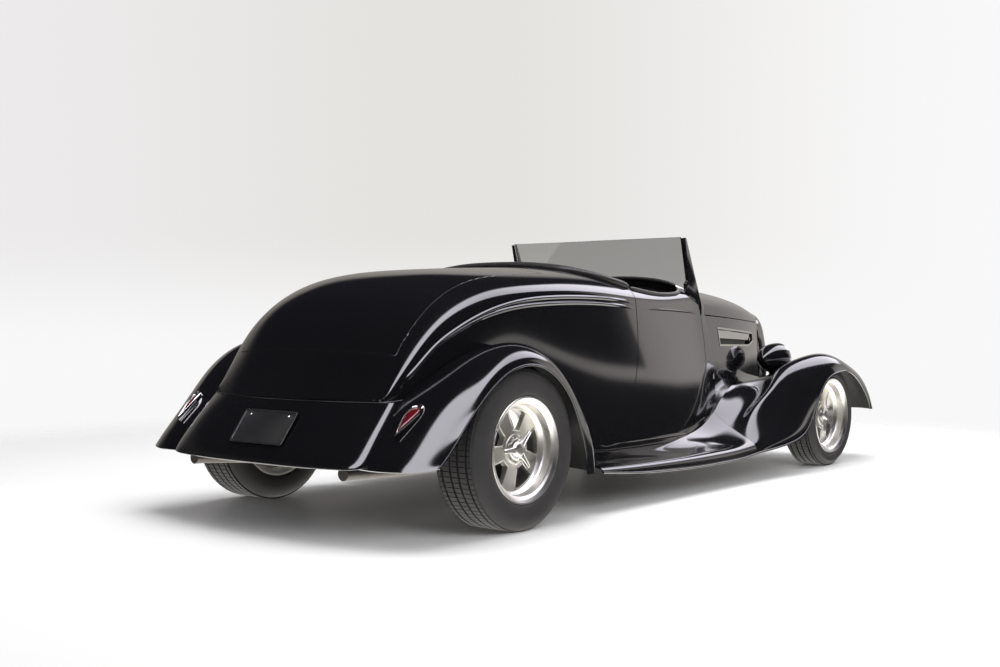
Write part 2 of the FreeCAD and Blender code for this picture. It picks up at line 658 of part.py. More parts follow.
ENGINE_HALF = 235.0
ENGINE_LOW = 345.0
left_rail = rail()
cross = [box(-470, -410, -350, 350, 385, 425), box(560, 620, -370, 370, RAIL_MID, RAIL_TOP),
         box(1500, 1570, -375, 375, RAIL_MID, RAIL_TOP), box(ahead(2800), ahead(2890), -305, 305, 296, CROSS_FRONT_TOP)]
mount = box(ahead(2385), ahead(2455), ENGINE_HALF + SEATING, 350, 262, 312)
mount_pad = box(ahead(2385), ahead(2455), ENGINE_HALF + SEATING, ENGINE_HALF + 20, 300, 400)
left_rail = left_rail.fuse([mount, mount_pad])
frame = fused(left_rail, mirrored(left_rail), *cross).cut(front_apron)
keep("frame_rails", max(frame.Solids, key=lambda s: s.Volume))

# Rear axle, coil-over units, links and drive shaft
axle_z = REAR_TYRE_R
rear_hub_y = 650.0
axle = fused(
    rod((0, -rear_hub_y, axle_z), (0, rear_hub_y, axle_z), 36),
    Part.makeSphere(118, V(0, 0, axle_z)),
    rod((0, 0, axle_z), (170, 0, axle_z), 60),
    rod((0, 612, axle_z), (0, 640, axle_z), 140),
    rod((0, -640, axle_z), (0, -612, axle_z), 140),
    rod((170, 0, axle_z), (1297, 0, 385), 38),
)
keep("rear_axle", axle)
coil = fused(rod((-60, 440, axle_z + 24), (-44, 432, BOOT_FLOOR - SEATING - 9), 34),
             Part.makeCylinder(26, 14, V(-44, 432, BOOT_FLOOR - SEATING - 14))).cut(axle)
link = fused(rod((30, 455, axle_z - 24), (560, 455, 268), 14),
             rod((560, 372 + RAIL_WIDTH / 2 + SEATING, 268), (560, 474, 268), 16),
             Part.makeCylinder(22, 26, V(30, 442, axle_z - 24), V(0, 1, 0))).cut(axle)
coil = max(coil.Solids, key=lambda s: s.Volume)
link = max(link.Solids, key=lambda s: s.Volume)
keep("rear_suspension", coil, mirrored(coil), link, mirrored(link))

# Front axle with dropped ends, leaf spring and radius rods
fa = WHEELBASE
fz = FRONT_TYRE_R
PIN_HALF = 34.0
beam_points = [(fa, 0, 190), (fa, 300, 190), (fa, 450, 192), (fa, 545, 218), (fa, 600, 270), (fa, 642, 284)]
half_beam = Part.makeLoft([outline([(x - 24, y, z - 22), (x + 24, y, z - 22), (x + 24, y, z + 22),
                                    (x - 24, y, z + 22)]) for x, y, z in beam_points], True, True)
beam_end = rod((fa, KINGPIN_Y, fz - PIN_HALF), (fa, KINGPIN_Y, fz + PIN_HALF), 26)
bracket_x = ahead(2250)
rail_side = 372 - RAIL_WIDTH / 2 - SEATING
rods = fused(rod((fa - 20, 430, 180), (bracket_x, rail_side - 10, 194), 11),
             box(bracket_x - 25, bracket_x + 25, rail_side - 20, rail_side, 182, RAIL_TOP - 12))
front_axle = fused(half_beam, beam_end, mirrored(half_beam), mirrored(beam_end), rods, mirrored(rods))
keep("front_axle", front_axle)
spring_top = 296.0 - SEATING
leaf_points = [(fa, 0, spring_top - 16), (fa, 200, 262), (fa, 400, 238)]
half_leaf = Part.makeLoft([outline([(x - 22, y, z - 16 + y * 0.02), (x + 22, y, z - 16 + y * 0.02),
                                    (x + 22, y, z + 16 - y * 0.02), (x - 22, y, z + 16 - y * 0.02)])
                           for x, y, z in leaf_points], True, True)
shackle = Part.makeCylinder(12, 22, V(fa, 388, 213.5 + SEATING))
leaf = fused(half_leaf, mirrored(half_leaf), shackle, mirrored(shackle))
keep("front_spring", leaf)

# Engine and gearbox as one plain block, radiator, tank and exhaust
keep("engine_block", fused(box(ahead(2130), ahead(2780), -ENGINE_HALF, ENGINE_HALF, ENGINE_LOW, 835),
                           box(1300, ahead(2130), -105, 105, RAIL_TOP + SEATING, 478)))
keep("radiator", box(ahead(2852), ahead(2912), -225, 225, CROSS_FRONT_TOP + SEATING, 790))
keep("fuel_tank", box(-395, -250, -300, 300, 372, BOOT_FLOOR - SEATING))
PIPE_R = 26.0
pipe_z = RAIL_MID - PIPE_R - SEATING
pipe_points = [(ahead(2240), 262, 275), (ahead(2060), 262, 244), (1700, 262, pipe_z), (1300, 262, pipe_z),
               (640, 262, pipe_z), (320, 266, 216), (0, 290, 214), (-300, 370, 232), (-480, 420, 246),
               (-612, 436, 252)]
both("exhaust_pipes", tube(pipe_points, PIPE_R))

# Lamps
lamp_centre = (ahead(2712), 480, 597)
bucket_profile = [(-140, 0), (-140, 6), (-112, 38), (-66, LAMP_R - 18), (-10, LAMP_R - 2), (38, LAMP_R + 0.5),
                  (50, LAMP_R - 1), (50, 0)]
bucket = turned_solid(bucket_profile, lamp_centre, (1, 0, 0))
lamp_stem = rod((lamp_centre[0] - 5, 480, 540), (lamp_centre[0] - 5, 472, 440), 18)
bucket = bucket.fuse(lamp_stem).removeSplitter()
bucket = bucket.cut(panel(front_rows, SHEET))
bucket = max(bucket.Solids, key=lambda s: s.Volume)
both("headlamp_buckets", bucket)
lens_profile = [(50 + SEATING, 0), (50 + SEATING, LAMP_R - 5), (57, LAMP_R - 7), (65, LAMP_R - 21), (73, LAMP_R - 50),
                (76, 0)]
lens = turned_solid(lens_profile, lamp_centre, (1, 0, 0))
both("headlamp_lenses", lens)

tail_low, tail_top = V(-534, 630, 386), V(-408, 642, 498)
tail_up = tail_top - tail_low
tail_length = tail_up.Length
tail_up.normalize()
tail_side = V(0.05, 1, 0)
tail_side.normalize()
tail_out = tail_side.cross(tail_up)
tail_out.normalize()
if tail_out.x > 0:
    tail_out = tail_out * -1
TEAR = [(0, 0.0), (19, 0.36), (31, 0.62), (28, 0.84), (14, 0.965), (0, 1.0)]


def teardrop(scale, low, high):
    ring = [(w, t) for w, t in TEAR] + [(-w, t) for w, t in reversed(TEAR[1:-1])]
    points = []
    for w, t in ring:
        up = 0.5 * tail_length + (t - 0.5) * tail_length * scale
        points.append(tail_low + tail_up * up + tail_side * (w * scale) + tail_out * low)
    return Part.Face(outline([(p.x, p.y, p.z) for p in points])).extrude(tail_out * (high - low))


bezel = max(teardrop(1.0, -34, 16).cut(rear_fender).Solids, key=lambda s: s.CenterOfMass.dot(tail_out))
bezel = bezel.cut(teardrop(0.66, 8, 20))
both("taillamp_bezels", bezel)
both("taillamp_lenses", teardrop(0.64, 8.4, 15))

PLATE_TILT = V(80, 0, 108)
plate_up = PLATE_TILT.normalize()
plate_out = V(-plate_up.z, 0, plate_up.x)
PLATE_FOOT = V(-661, 152, 341)
plate = Part.makeBox(304, 152, 4, V(0, 0, 0))
plate.Placement = FreeCAD.Placement(PLATE_FOOT, FreeCAD.Rotation(V(0, -1, 0), plate_up, plate_out))
pads = []
for side in (-110, 110):
    for rise in (20, 130):
        foot = PLATE_FOOT + V(0, -152 + side, 0) + plate_up * rise - plate_out * (12 + SEATING)
        pads.append(Part.makeCylinder(9, 12, foot, plate_out))
shapes["rear_pan"] = [rear_pan.fuse(pads)]
keep("licence_plate", plate)


# Wheels
def wheel(rim_y, width, tyre_r, tyre_w, centre_x, hub_end):
    """Tyre and wheel for the left side. rim_y is the plane of the outer lip."""
    c = (centre_x, 0, tyre_r)
    y1, y0 = rim_y, rim_y - width
    mid = 0.5 * (y0 + y1)
    r = RIM_LIP_R
    barrel = turned_solid([
        (y0, r - 9), (y0, r), (y0 + 10, r), (y0 + 14, r - 19), (y0 + 60, r - 21), (y0 + 75, r - 37),
        (y1 - 70, r - 37), (y1 - 58, r - 21), (y1 - 14, r - 19), (y1 - 10, r), (y1, r), (y1, r - 7),
        (y1 - 8, r - 23), (y1 - 16, r - 28), (y1 - 52, r - 29), (y1 - 66, r - 45), (y0 + 71, r - 45),
        (y0 + 56, r - 29), (y0 + 10, r - 28)], c, (0, 1, 0))
    face = y1 - 62
    centre = turned_solid([(hub_end, 0), (hub_end, 66), (face, 66), (face + 10, 56), (face + 12, 34),
                           (face + 34, 30), (face + 34, 0)], c, (0, 1, 0))
    arms = []
    for k in range(5):
        arm = prism([(-30, face - 28, 40), (30, face - 28, 40), (23, face - 22, r - 41), (-23, face - 22, r - 41)],
                    (0, 26, 0))
        arm.rotate(V(0, 0, 0), V(0, 1, 0), 72 * k + 36)
        arm.translate(V(*c))
        arms.append(arm)
    for k in range(3):
        arm = prism([(-14, face + 22, 0), (14, face + 22, 0), (9, face + 18, 92), (-9, face + 18, 92)], (0, 10, 0))
        arm.rotate(V(0, 0, 0), V(0, 1, 0), 120 * k + 30)
        arm.translate(V(*c))
        arms.append(arm)
    whole = fused(barrel, centre, *arms)
    half = tyre_w / 2
    crown = tyre_r
    section = tyre_r - r
    tyre = turned_solid([
        (mid - half + 12, r + 2), (mid - half, r + 0.35 * section), (mid - half + 3, r + 0.6 * section),
        (mid - half + 14, crown - 14), (mid - half + 26, crown - 3), (mid - half + 50, crown),
        (mid + half - 50, crown), (mid + half - 26, crown - 3), (mid + half - 14, crown - 14),
        (mid + half - 3, r + 0.6 * section), (mid + half, r + 0.35 * section), (mid + half - 12, r + 2),
        (y1 - 11, r + 1), (y1 - 14.5, r - 18), (y0 + 14.5, r - 18), (y0 + 11, r + 1)], c, (0, 1, 0))
    return whole, tyre


SPINDLE_END = 685.0
rear_wheel, rear_tyre = wheel(REAR_RIM_Y, 206.0, REAR_TYRE_R, REAR_TYRE_W, 0.0, rear_hub_y + HUB_PLAY)
front_wheel, front_tyre = wheel(FRONT_RIM_Y, 176.0, FRONT_TYRE_R, FRONT_TYRE_W, WHEELBASE, SPINDLE_END + HUB_PLAY)
print("wheels", rear_wheel.isValid(), len(rear_wheel.Solids), rear_tyre.isValid())
keep("wheel_rear_left", rear_wheel)
keep("wheel_rear_right", mirrored(rear_wheel))
keep("tyre_rear_left", rear_tyre)
keep("tyre_rear_right", mirrored(rear_tyre))
keep("wheel_front_left", front_wheel)
keep("wheel_front_right", mirrored(front_wheel))
keep("tyre_front_left", front_tyre)
keep("tyre_front_right", mirrored(front_tyre))

# Steering knuckles with brake discs, and the tie rod
BALL_R = 13.0
ball = V(fa - 130, 600, fz - 74)
FORK = 0.6
knuckle = fused(
    box(fa - 26, fa + 26, 668, 680, fz - 60, fz + 60),
    box(fa - 24, fa + 24, 616, 672, fz + PIN_HALF + FORK, fz + PIN_HALF + 20),
    box(fa - 24, fa + 24, 616, 672, fz - PIN_HALF - 20, fz - PIN_HALF - FORK),
    rod((fa, 676, fz), (fa, SPINDLE_END, fz), 120),
    rod((fa - 12, 644, fz - PIN_HALF - 11), (ball.x, ball.y, ball.z), 10),
    Part.makeCylinder(BALL_R, 28, ball - V(0, 0, 14)),
)
keep("knuckle_left", knuckle)
keep("knuckle_right", mirrored(knuckle))
tie_half = ball.y - BALL_R - HUB_PLAY
tie = rod((ball.x, -tie_half, ball.z), (ball.x, tie_half, ball.z), 9)
keep("tie_rod", tie)

# Place the car over the origin and write one file for each sub-part
boxes = [solid.optimalBoundingBox(False, False) for solids in shapes.values() for solid in solids]
low = min(b.XMin for b in boxes)
high = max(b.XMax for b in boxes)
ground = min(b.ZMin for b in boxes)
move = V(-0.5 * (low + high), 0, 0)
print("rear axle x after the move", move.x, "length", high - low, "lowest", ground)
for name, solids in sorted(shapes.items()):
    if len(solids) == 1:
        whole = solids[0].copy()
    else:
        whole = Part.makeCompound(solids)
    whole.translate(move)
    for s in whole.Solids:
        if not s.isValid() or s.Volume <= 0:
            print("BAD", name, s.isValid(), s.Volume)
    whole.exportStep("parts/" + name + ".step")
    b = whole.optimalBoundingBox(False, False)
    print("%-20s %d solids, %.2f l, x %.0f %.0f y %.0f %.0f z %.0f %.0f"
          % (name, len(whole.Solids), whole.Volume / 1e6, b.XMin, b.XMax, b.YMin, b.YMax, b.ZMin, b.ZMax))
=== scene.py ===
import math

import bmesh
import bpy
from mathutils import Matrix, Vector


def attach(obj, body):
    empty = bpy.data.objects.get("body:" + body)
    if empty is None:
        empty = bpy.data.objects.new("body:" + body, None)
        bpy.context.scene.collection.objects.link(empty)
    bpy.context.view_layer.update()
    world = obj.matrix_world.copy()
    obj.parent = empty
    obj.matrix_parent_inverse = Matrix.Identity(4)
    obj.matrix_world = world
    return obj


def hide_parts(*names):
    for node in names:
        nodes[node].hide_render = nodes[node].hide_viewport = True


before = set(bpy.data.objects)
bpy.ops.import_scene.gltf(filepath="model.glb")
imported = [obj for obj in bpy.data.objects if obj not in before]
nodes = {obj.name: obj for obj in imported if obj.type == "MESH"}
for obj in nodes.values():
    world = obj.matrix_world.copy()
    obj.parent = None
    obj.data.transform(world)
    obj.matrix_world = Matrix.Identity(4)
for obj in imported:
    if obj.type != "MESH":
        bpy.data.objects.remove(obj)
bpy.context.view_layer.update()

# Camera and studio
# A low three-quarter view from behind the right side, in a white room with a pale floor. What bright
# parts mirror is drawn apart from the room: a strip overhead, a lit wall on the right, black beside
# the camera and just below the horizon, and a bright floor further down.
CAMERA_AT = Vector((-5.30785, -3.8504, 0.8369))
CAMERA_YAW = math.radians(39.01)
CAMERA_DOWN = math.radians(0.8057)
CAMERA_ROLL = math.radians(0.082)
lens_data = bpy.data.cameras.new("camera")
lens_data.sensor_fit = "HORIZONTAL"
lens_data.sensor_width = 36.0
lens_data.lens = 46.184
lens_data.clip_end = 200.0
camera = bpy.data.objects.new("camera", lens_data)
bpy.context.scene.collection.objects.link(camera)
ahead_way = Vector((math.cos(CAMERA_YAW) * math.cos(CAMERA_DOWN),
                    math.sin(CAMERA_YAW) * math.cos(CAMERA_DOWN), -math.sin(CAMERA_DOWN)))
level_right = Vector((math.sin(CAMERA_YAW), -math.cos(CAMERA_YAW), 0))
level_up = level_right.cross(ahead_way)
right_way = level_right * math.cos(CAMERA_ROLL) + level_up * math.sin(CAMERA_ROLL)
up_way = level_up * math.cos(CAMERA_ROLL) - level_right * math.sin(CAMERA_ROLL)
turn = Matrix((right_way, up_way, -ahead_way)).transposed()
camera.matrix_world = Matrix.Translation(CAMERA_AT) @ turn.to_4x4()
bpy.context.scene.camera = camera
bpy.context.scene.view_settings.view_transform = "Standard"


class Wire:
    """A socket of a node tree, so that the sums of a finish are written as plain expressions."""

    def __init__(self, tree, socket=None):
        self.tree = tree
        self.socket = socket

    def node(self, kind, settings, sockets, out=0):
        """Adds a node: its settings go in first, then the values or links of its sockets."""
        made = self.tree.nodes.new("ShaderNode" + kind)
        for name, value in settings.items():
            if name == "stops":
                ramp = made.color_ramp
                while len(ramp.elements) < len(value):
                    ramp.elements.new(0.5)
                for stop, (place, colour) in zip(ramp.elements, value):
                    stop.position = place
                    stop.color = colour
            else:
                setattr(made, name, value)
        for name, value in sockets.items():
            if isinstance(value, Wire):
                self.tree.links.new(value.socket, made.inputs[name])
            else:
                made.inputs[name].default_value = value
        return Wire(self.tree, made.outputs[out] if made.outputs else None)

    def sum_of(self, operation, first, second):
        return self.node("Math", {"operation": operation}, {0: first, 1: second})

    def __add__(self, other):
        return self.sum_of("ADD", self, other)

    def __radd__(self, other):
        return self.sum_of("ADD", other, self)

    def __sub__(self, other):
        return self.sum_of("SUBTRACT", self, other)

    def __rsub__(self, other):
        return self.sum_of("SUBTRACT", other, self)

    def __mul__(self, other):
        return self.sum_of("MULTIPLY", self, other)

    def __rmul__(self, other):
        return self.sum_of("MULTIPLY", other, self)

    def step(self, low, high):
        """Smooth rise from 0 at low to 1 at high."""
        return self.node("MapRange", {"interpolation_type": "SMOOTHSTEP"},
                         {"Value": self, "From Min": low, "From Max": high})

    def blend(self, first, second):
        """Mixes two colours, with this value as the share of the second."""
        return self.node("Mix", {"data_type": "RGBA"}, {0: self, 6: first, 7: second}, 2)

    def along(self, way):
        """Length of this vector along a direction."""
        return self.node("VectorMath", {"operation": "DOT_PRODUCT"}, {0: self, 1: way}, 1)


ROOM_LEFT = (0.84, 0.825, 0.83, 1)
ROOM_MIDDLE = (0.775, 0.768, 0.74, 1)
ROOM_RIGHT = (0.95, 0.94, 0.945, 1)
FLOOR_FAR = (0.945, 0.94, 0.945, 1)
UNLIT_SIDE = (-0.087, -0.996, 0.0)
MIRROR_AHEAD = (0.46, 0.44, 0.42, 1)
MIRROR_LEFT = (0.30, 0.28, 0.26, 1)
MIRROR_BEHIND = (0.05, 0.048, 0.048, 1)
MIRROR_ROOF = (0.012, 0.012, 0.016, 1)
MIRROR_RIGHT = (0.92, 0.87, 0.84, 1)
MIRROR_UNLIT = (0.012, 0.012, 0.014, 1)
MIRROR_HORIZON = (0.02, 0.02, 0.021, 1)
MIRROR_FLOOR = (1.9, 1.85, 1.75, 1)
STRIP_BEHIND = (5.4, 5.25, 5.75, 1)
STRIP_AHEAD = (2.9, 2.8, 3.1, 1)
room = bpy.data.worlds.new("studio")
bpy.context.scene.world = room
room.use_nodes = True
tree = room.node_tree
tree.nodes.clear()
start = Wire(tree)
look = start.node("TexCoord", {}, {})
across = look.along(tuple(level_right))
wall = across.step(-0.36, -0.05).blend(ROOM_LEFT, ROOM_MIDDLE)
wall = across.step(-0.02, 0.36).blend(wall, ROOM_RIGHT)
height = look.along((0, 0, 1))
seen = height.step(0.07, -0.03).blend(wall, FLOOR_FAR)
nose_side = look.along((1, 0, 0))
left_side = look.along((0, 1, 0))
gloss = left_side.step(0.25, 0.80).blend(MIRROR_AHEAD, MIRROR_LEFT)
gloss = nose_side.step(0.25, -0.2).blend(gloss, MIRROR_BEHIND)
gloss = height.step(0.34, 0.46).blend(gloss, MIRROR_ROOF)
side_wall = left_side.step(-0.10, -0.40) * height.step(0.42, 0.16)
gloss = side_wall.blend(gloss, MIRROR_RIGHT)
unlit = look.along(UNLIT_SIDE).step(0.39, 0.405) * height.step(-0.02, 0.01)
gloss = unlit.blend(gloss, MIRROR_UNLIT)
gloss = height.step(-0.03, -0.06).blend(gloss, MIRROR_HORIZON)
gloss = height.step(-0.34, -0.50).blend(gloss, MIRROR_FLOOR)
strip_place = start.sum_of("DIVIDE", left_side, start.sum_of("MAXIMUM", height, 0.05))
inner_place = strip_place + start.sum_of("MAXIMUM", height - 0.6, 0.0)
strip = strip_place.step(-0.62, -0.52) * inner_place.step(0.26, 0.16) * height.step(0.30, 0.40)
strip_light = nose_side.step(-0.1, 0.75).blend(STRIP_BEHIND, STRIP_AHEAD)
gloss = strip.blend(gloss, strip_light)
rays = start.node("LightPath", {}, {})
camera_ray = Wire(tree, rays.socket.node.outputs["Is Camera Ray"])
glossy_ray = Wire(tree, rays.socket.node.outputs["Is Glossy Ray"])
clear_ray = Wire(tree, rays.socket.node.outputs["Is Transmission Ray"])
light = glossy_ray.blend((0.55, 0.55, 0.56, 1), gloss)
light = (camera_ray + clear_ray).step(0.0, 1.0).blend(light, seen)
background = start.node("Background", {}, {"Color": light, "Strength": 1.0})
start.node("OutputWorld", {}, {"Surface": background})

SOFTBOXES = [
    # name, place, aim, width, length, power
    ("softbox_over", (0.4, -0.4, 4.4), (0.0, -0.2, 0.3), 3.0, 6.0, 330),
    ("softbox_ahead", (5.2, 3.0, 3.4), (0.3, 0.0, 0.4), 3.0, 3.0, 130),
    ("softbox_side", (-1.5, -5.2, 3.0), (0.0, -0.6, 0.2), 4.0, 3.0, 150),
]
for name, place, aim, width, length, power in SOFTBOXES:
    lamp = bpy.data.lights.new(name, "AREA")
    lamp.shape = "RECTANGLE"
    lamp.size = width
    lamp.size_y = length
    lamp.energy = power
    holder = bpy.data.objects.new(name, lamp)
    holder.matrix_world = (Matrix.Translation(Vector(place))
                           @ (Vector(aim) - Vector(place)).to_track_quat("-Z", "Y").to_matrix().to_4x4())
    holder.visible_glossy = False
    bpy.context.scene.collection.objects.link(holder)


def shown(name, bm, *finishes):
    """Puts a finished bmesh in the scene as a piece with its materials."""
    mesh = bpy.data.meshes.new(name)
    bm.to_mesh(mesh)
    bm.free()
    for each in finishes:
        mesh.materials.append(each)
    piece = bpy.data.objects.new(name, mesh)
    bpy.context.scene.collection.objects.link(piece)
    return piece


def finish(name, fixed, varied):
    """A material: fixed shader sockets, and a function that gives the ones that vary over the piece."""
    material = bpy.data.materials.new(name)
    material.use_nodes = True
    shader = material.node_tree.nodes["Principled BSDF"]
    for socket, value in fixed.items():
        shader.inputs[socket].default_value = value
    start = Wire(material.node_tree)
    place = start.node("TexCoord", {}, {}, "Object")
    for socket, wire in varied(start, place).items():
        material.node_tree.links.new(wire.socket, shader.inputs[socket])
    return material


def fitted(piece, *stands_for, body="chassis", slot=None):
    """Ties a piece to its body and hides the solids that it stands for. The slot is not used."""
    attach(piece, body)
    for node in stands_for:
        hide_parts(node)
    return piece


def cloud(start, place, scale, detail=3.0):
    """Soft random value from 0 to 1; scale is the number of spots in a metre."""
    return start.node("TexNoise", {}, {"Vector": place, "Scale": scale, "Detail": detail}, 0)


def relief(start, height, depth, strength=0.3):
    return start.node("Bump", {}, {"Height": height, "Distance": depth, "Strength": strength})


def floor_look(start, place):
    far = start.node("VectorMath", {"operation": "LENGTH"}, {0: place}, 1).step(2.6, 5.2)
    return {"Roughness": 0.26 + 0.10 * cloud(start, place, 0.8),
            "Base Color": cloud(start, place, 0.3).blend((0.84, 0.84, 0.84, 1), (0.87, 0.865, 0.87, 1)),
            "Alpha": 1 - far}


floor_paint = finish("studio_floor", {"Specular IOR Level": 0.12}, floor_look)
bm = bmesh.new()
bmesh.ops.create_grid(bm, x_segments=8, y_segments=8, size=14.0)
floor = shown("floor", bm, floor_paint)
floor.visible_glossy = False

# Body skin
# Steel tub, gloss black outside and satin inside, with two rear-hinged doors and a deck lid cut from
# the same skin. The seams are 5 mm wide, and the edges show the wall's full depth.
REAR_AXLE = -1.3980548437935122


def at(x, y, z):
    """Place in the scene of a point drawn in millimetres from the rear axle line."""
    return Vector((x / 1000 + REAR_AXLE, y / 1000, z / 1000))


def settle(line):
    """Control points whose smooth curve runs through the points of the line."""
    poles = list(line)
    for turn in range(14):
        for k in range(1, len(line) - 1):
            poles[k] = (line[k] * 6 - poles[k - 1] - poles[k + 1]) * 0.25
    return poles


def turned(rows):
    return [list(column) for column in zip(*rows)]


def flowing(points, steps, closed=False):
    """Points along the smooth curve through the given ones."""
    reach = 4
    line = points[-reach:] + points + points[:reach + 1] if closed else points
    poles = settle(line)
    poles = [poles[0] * 2 - poles[1]] + poles + [poles[-1] * 2 - poles[-2]]
    first, last = (reach, reach + len(points)) if closed else (0, len(points) - 1)
    curve = []
    for k in range(first, last):
        a, b, c, d = poles[k:k + 4]
        for part in range(steps):
            t = part / steps
            curve.append(a * ((1 - t) ** 3 / 6) + b * ((3 * t ** 3 - 6 * t * t + 4) / 6)
                         + c * ((-3 * t ** 3 + 3 * t * t + 3 * t + 1) / 6) + d * (t ** 3 / 6))
    if not closed:
        curve.append(points[-1].copy())
    return curve


def set_solid(piece):
    """Turns the piece's modifiers into its own mesh."""
    graph = bpy.context.evaluated_depsgraph_get()
    mesh = bpy.data.meshes.new_from_object(piece.evaluated_get(graph))
    piece.modifiers.clear()
    piece.data = mesh


def sheet_metal(name, rows, wall, finishes, outside_up=True, levels=3):
    """Smooth panel through the rows of points, with its thickness on the hidden side."""
    poles = turned([settle(column) for column in turned([settle(row) for row in rows])])
    bm = bmesh.new()
    bmesh.ops.create_grid(bm, x_segments=len(rows[0]) - 1, y_segments=len(rows) - 1, size=1.0)
    for vert, pole in zip(bm.verts, [pole for row in poles for pole in row]):
        vert.co = pole
    if not outside_up:
        bmesh.ops.reverse_faces(bm, faces=bm.faces)
    for face in bm.faces:
        face.smooth = True
    piece = shown(name, bm, *finishes)
    fine = piece.modifiers.new("fine", "SUBSURF")
    fine.levels = levels
    fine.render_levels = levels
    fine.boundary_smooth = "PRESERVE_CORNERS"
    depth = piece.modifiers.new("wall", "SOLIDIFY")
    depth.thickness = wall
    depth.offset = -1.0
    depth.material_offset = len(finishes) - 1
    set_solid(piece)
    piece.data.set_sharp_from_angle(angle=math.radians(35))
    return piece


def slab(points, push):
    """Closed block for cutting: an outline pushed straight through the metal."""
    bm = bmesh.new()
    face = bm.faces.new([bm.verts.new(point) for point in points])
    moved = bmesh.ops.extrude_face_region(bm, geom=[face])["geom"]
    bmesh.ops.translate(bm, vec=push, verts=[each for each in moved if isinstance(each, bmesh.types.BMVert)])
    bmesh.ops.recalc_face_normals(bm, faces=bm.faces)
    return shown("tool", bm)


def cut(piece, tool, way="DIFFERENCE", keep_tool=False):
    step = piece.modifiers.new("cut", "BOOLEAN")
    step.solver = "EXACT"
    step.operation = way
    step.object = tool
    set_solid(piece)
    if not keep_tool:
        bpy.data.objects.remove(tool)


def polish(piece, master):
    """The cut panel keeps the flow of reflections of the whole skin it comes from."""
    piece.data.set_sharp_from_angle(angle=math.radians(35))
    step = piece.modifiers.new("flow", "DATA_TRANSFER")
    step.object = master
    step.use_loop_data = True
    step.data_types_loops = {"CUSTOM_NORMAL"}
    step.loop_mapping = "POLYINTERP_NEAREST"
    step.use_max_distance = True
    step.max_distance = 0.001
    set_solid(piece)


def copy_of(piece, name):
    twin = bpy.data.objects.new(name, piece.data.copy())
    bpy.context.scene.collection.objects.link(twin)
    return twin


def paint_look(start, place):
    """Deep black with the faint waviness of sprayed and hand-rubbed lacquer."""
    wave = cloud(start, place, 90.0, 2.0)
    depth = cloud(start, place, 2.0)
    return {"Base Color": depth.blend((0.0035, 0.0035, 0.0045, 1), (0.006, 0.006, 0.007, 1)),
            "Roughness": 0.10 + 0.05 * cloud(start, place, 6.0),
            "Normal": relief(start, wave, 0.0002, 0.03)}


def chassis_look(start, place):
    grain = cloud(start, place, 400.0, 4.0)
    return {"Base Color": cloud(start, place, 9.0).blend((0.010, 0.010, 0.011, 1), (0.018, 0.018, 0.019, 1)),
            "Roughness": 0.42 + 0.16 * grain,
            "Normal": relief(start, grain, 0.0004, 0.25)}


paint = finish("gloss_black_paint", {"Coat Weight": 1.0, "Coat Roughness": 0.02, "IOR": 1.5}, paint_look)
satin = finish("chassis_black", {"Specular IOR Level": 0.4}, chassis_look)
BODY_WALL = 0.042
SEAM = 5.0
HOOPS = [
    # belt x, y, z; centre x, z; lower x, y, z; squareness
    (1858, 527, 843, 1858, 1010, 1958, 541, 250, 2.4),
    (1700, 558, 852, 1700, 1030, 1745, 573, 240, 3.1),
    (1450, 583, 860, 1450, 1043, 1465, 602, 236, 2.6),
    (1150, 603, 869, 1150, 1062, 1152, 614, 236, 2.4),
    (850, 611, 893, 850, 1068, 850, 616, 238, 2.4),
    (550, 610, 904, 550, 1056, 550, 600, 300, 2.5),
    (250, 602, 890, 250, 1040, 250, 576, 430, 2.5),
    (40, 588, 845, 20, 1012, 40, 568, 470, 2.5),
    (-130, 566, 771, -150, 940, -130, 560, 488, 2.6),
    (-250, 545, 698, -280, 832, -250, 545, 500, 2.7),
    (-340, 523, 616, -385, 706, -340, 526, 506, 2.8),
    (-405, 503, 562, -455, 600, -405, 506, 508, 2.8),
    (-457, 487, 522, -525, 508, -457, 490, 510, 2.8),
]


def mirrored_row(half):
    return half + [Vector((p.x, -p.y, p.z)) for p in reversed(half[:-1])]


def hoop_row(bx, by, bz, cx, cz, lx, ly, lz, square):
    half = []
    swell = 20.0 * min(1.0, (bz - lz) / 560.0)
    for k in range(4):
        part = k / 4
        half.append(at(lx + (bx - lx) * part, ly + (by - ly) * part + swell * math.sin(math.pi * part),
                       lz + (bz - lz) * part))
    for k in range(8):
        angle = math.pi / 2 * k / 7
        y = by * math.cos(angle) ** (2 / square)
        z = bz + (cz - bz) * math.sin(angle) ** (2 / square)
        half.append(at(cx + (bx - cx) * (y / by) ** 2, y, z))
    return mirrored_row(half)


skin = sheet_metal("skin", [hoop_row(*hoop) for hoop in HOOPS], BODY_WALL, (paint, satin), outside_up=False)

COCKPIT = [(812, 0), (822, 230), (862, 400), (960, 508), (1110, 556), (1300, 562), (1480, 552), (1600, 535),
           (1652, 470), (1662, 300), (1664, 0)]
ring = COCKPIT + [(x, -y) for x, y in reversed(COCKPIT[1:-1])]
cockpit_line = flowing([at(x, y, 905) for x, y in ring], 8, closed=True)
open_skin = copy_of(skin, "open_skin")
cut(open_skin, slab(cockpit_line, Vector((0, 0, 0.4))))

DOOR_REAR = [(934, 268), (1020, 440), (1070, 600), (1096, 800), (1102, 1100)]
SILL_RISE = 1560


